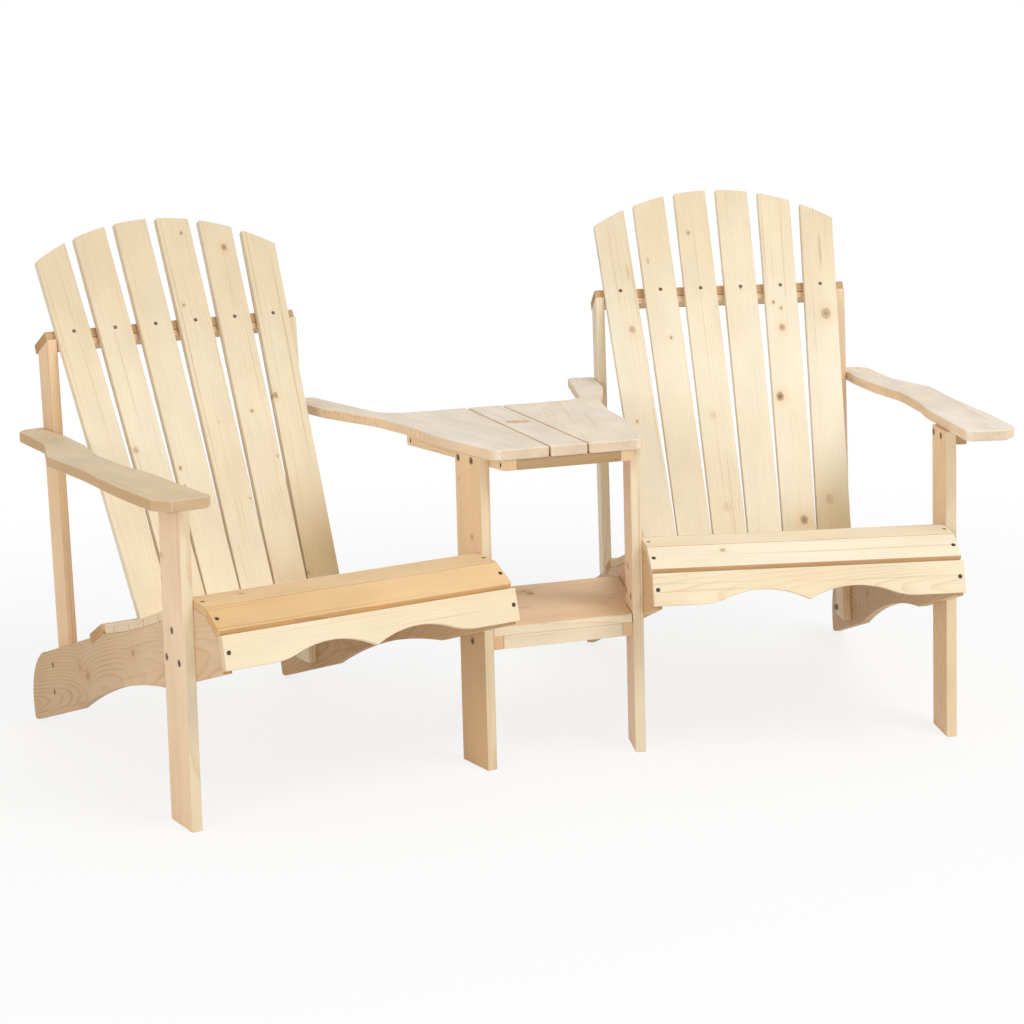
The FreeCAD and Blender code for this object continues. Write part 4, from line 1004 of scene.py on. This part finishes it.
class PineSettings(bpy.types.PropertyGroup):
    """Colours of the pine boards"""

    cream: colour_setting("Cream pine", "Early wood of the slats", (0.93, 0.845, 0.675))
    honey: colour_setting("Honey pine", "Early wood of the left seat's front", (0.88, 0.67, 0.41))
    wheat: colour_setting("Wheat pine", "Early wood of the front edges", (0.87, 0.76, 0.57))
    blush: colour_setting("Pink pine", "Early wood of the legs and the shelf", (0.9, 0.7, 0.49))
    ash: colour_setting("Grey pine", "Early wood of the table and the arms", (0.87, 0.785, 0.66))
    tan: colour_setting("Tan pine", "Early wood of the side rails", (0.74, 0.54, 0.34))
    ring: colour_setting("Ring line", "Cast that multiplies the late wood", (0.72, 0.53, 0.32))
    # The browner stretches that this colour casts are real stain on some boards and painted shade
    # on others
    stain: colour_setting("Stain", "Cast that multiplies the browner stretches", (0.72, 0.63, 0.48))
    warm: colour_setting("Warm cast", "Cast that multiplies warmer stretches", (0.93, 0.78, 0.55))
    resin: colour_setting("Resin", "Streaks, cracks and dents", (0.46, 0.24, 0.09))
    knot: colour_setting("Knot", "Wood of a knot", (0.5, 0.29, 0.15))
    knot_edge: colour_setting("Knot edge", "Dark edge and cracks of a knot", (0.17, 0.08, 0.035))
    end_grain: colour_setting("Sawn end", "Cast that multiplies sawn ends", (0.8, 0.66, 0.52))


class SteelSettings(bpy.types.PropertyGroup):
    """Colours of the bolts, nuts and screws, darkened partly as painted shade in their sunk heads
    """

    # These zinc colours are dark partly from wear and partly as painted shade in the recesses of
    # the heads
    bright: colour_setting("Bright zinc", "Rubbed zinc", (0.42, 0.38, 0.33))
    dull: colour_setting("Dull zinc", "Weathered zinc", (0.16, 0.125, 0.09))
    dark: colour_setting("Dark zinc", "Heads of the wood screws", (0.1, 0.075, 0.05))


class StageSettings(bpy.types.PropertyGroup):
    """Floor, lamps and camera"""

    floor_colour: colour_setting("Floor", "Paper of the studio floor", (0.93, 0.93, 0.93))
    paper_white: number_setting("White floor", "Share of plain white in the seen floor", 0.8)
    ambient: number_setting("Soft light", "Light from all round", 0.57)
    key: number_setting("Key lamp", "Power of the high lamp at the right", 130.0, "POWER")
    key_size: number_setting("Key size", "Width of the high lamp", 2.6, "LENGTH")
    key_place: place_setting("Key place", "Where the high lamp hangs", (1.8, -3.4, 4.6))
    fill: number_setting("Fill lamp", "Power of the low lamp at the left", 60.0, "POWER")
    fill_size: number_setting("Fill size", "Width of the low lamp", 3.0, "LENGTH")
    fill_place: place_setting("Fill place", "Where the low lamp stands", (-4.2, -3.2, 1.7))
    eye: place_setting("Camera place", "Where the camera stands", (-1.3625, -4.0544, 1.2776))
    azimuth: angle_setting("Azimuth", "Turn of the view from +Y towards +X", 0.2864)
    pitch: angle_setting("Pitch", "Look down from the level", 0.1217)
    roll: angle_setting("Roll", "Turn about the line of sight", 0.0305)
    lens: number_setting("Lens", "Focal length in millimetres", 81.77, "CAMERA")
    shift: FloatVectorProperty(
        name="Shift", description="Shift of the lens", default=(0.0878, -0.1797), size=2
    )


STEPS = (
    BENCH_OT_back_slats,
    BENCH_OT_seats,
    BENCH_OT_aprons,
    BENCH_OT_frames,
    BENCH_OT_supports,
    BENCH_OT_tops,
    BENCH_OT_fasteners,
    BENCH_OT_stage,
)


class BENCH_PT_sidebar(bpy.types.Panel):
    """Lists the steps that dress the bench"""

    bl_idname = "BENCH_PT_sidebar"
    bl_label = "Companion seat bench"
    bl_space_type = "VIEW_3D"
    bl_region_type = "UI"
    bl_category = "Bench"

    def draw(self, context):
        for step in STEPS:
            self.layout.operator(step.bl_idname)
        scene = context.scene
        for group in (scene.bench_pine, scene.bench_steel, scene.bench_stage):
            box = self.layout.box()
            for name in group.bl_rna.properties.keys():
                if name not in ("rna_type", "name"):
                    box.prop(group, name)


CLASSES = (PineSettings, SteelSettings, StageSettings, *STEPS, BENCH_PT_sidebar)


def register():
    for kind in CLASSES:
        bpy.utils.register_class(kind)
    bpy.types.Scene.bench_pine = PointerProperty(type=PineSettings)
    bpy.types.Scene.bench_steel = PointerProperty(type=SteelSettings)
    bpy.types.Scene.bench_stage = PointerProperty(type=StageSettings)


def unregister():
    del bpy.types.Scene.bench_stage
    del bpy.types.Scene.bench_steel
    del bpy.types.Scene.bench_pine
    for kind in reversed(CLASSES):
        bpy.utils.unregister_class(kind)


def main():
    register()
    bpy.ops.bench.back_slats()
    bpy.ops.bench.seats()
    bpy.ops.bench.aprons()
    bpy.ops.bench.frames()
    bpy.ops.bench.supports()
    bpy.ops.bench.tops()
    bpy.ops.bench.fasteners()
    bpy.ops.bench.stage()


if __name__ == "__main__":
    main()
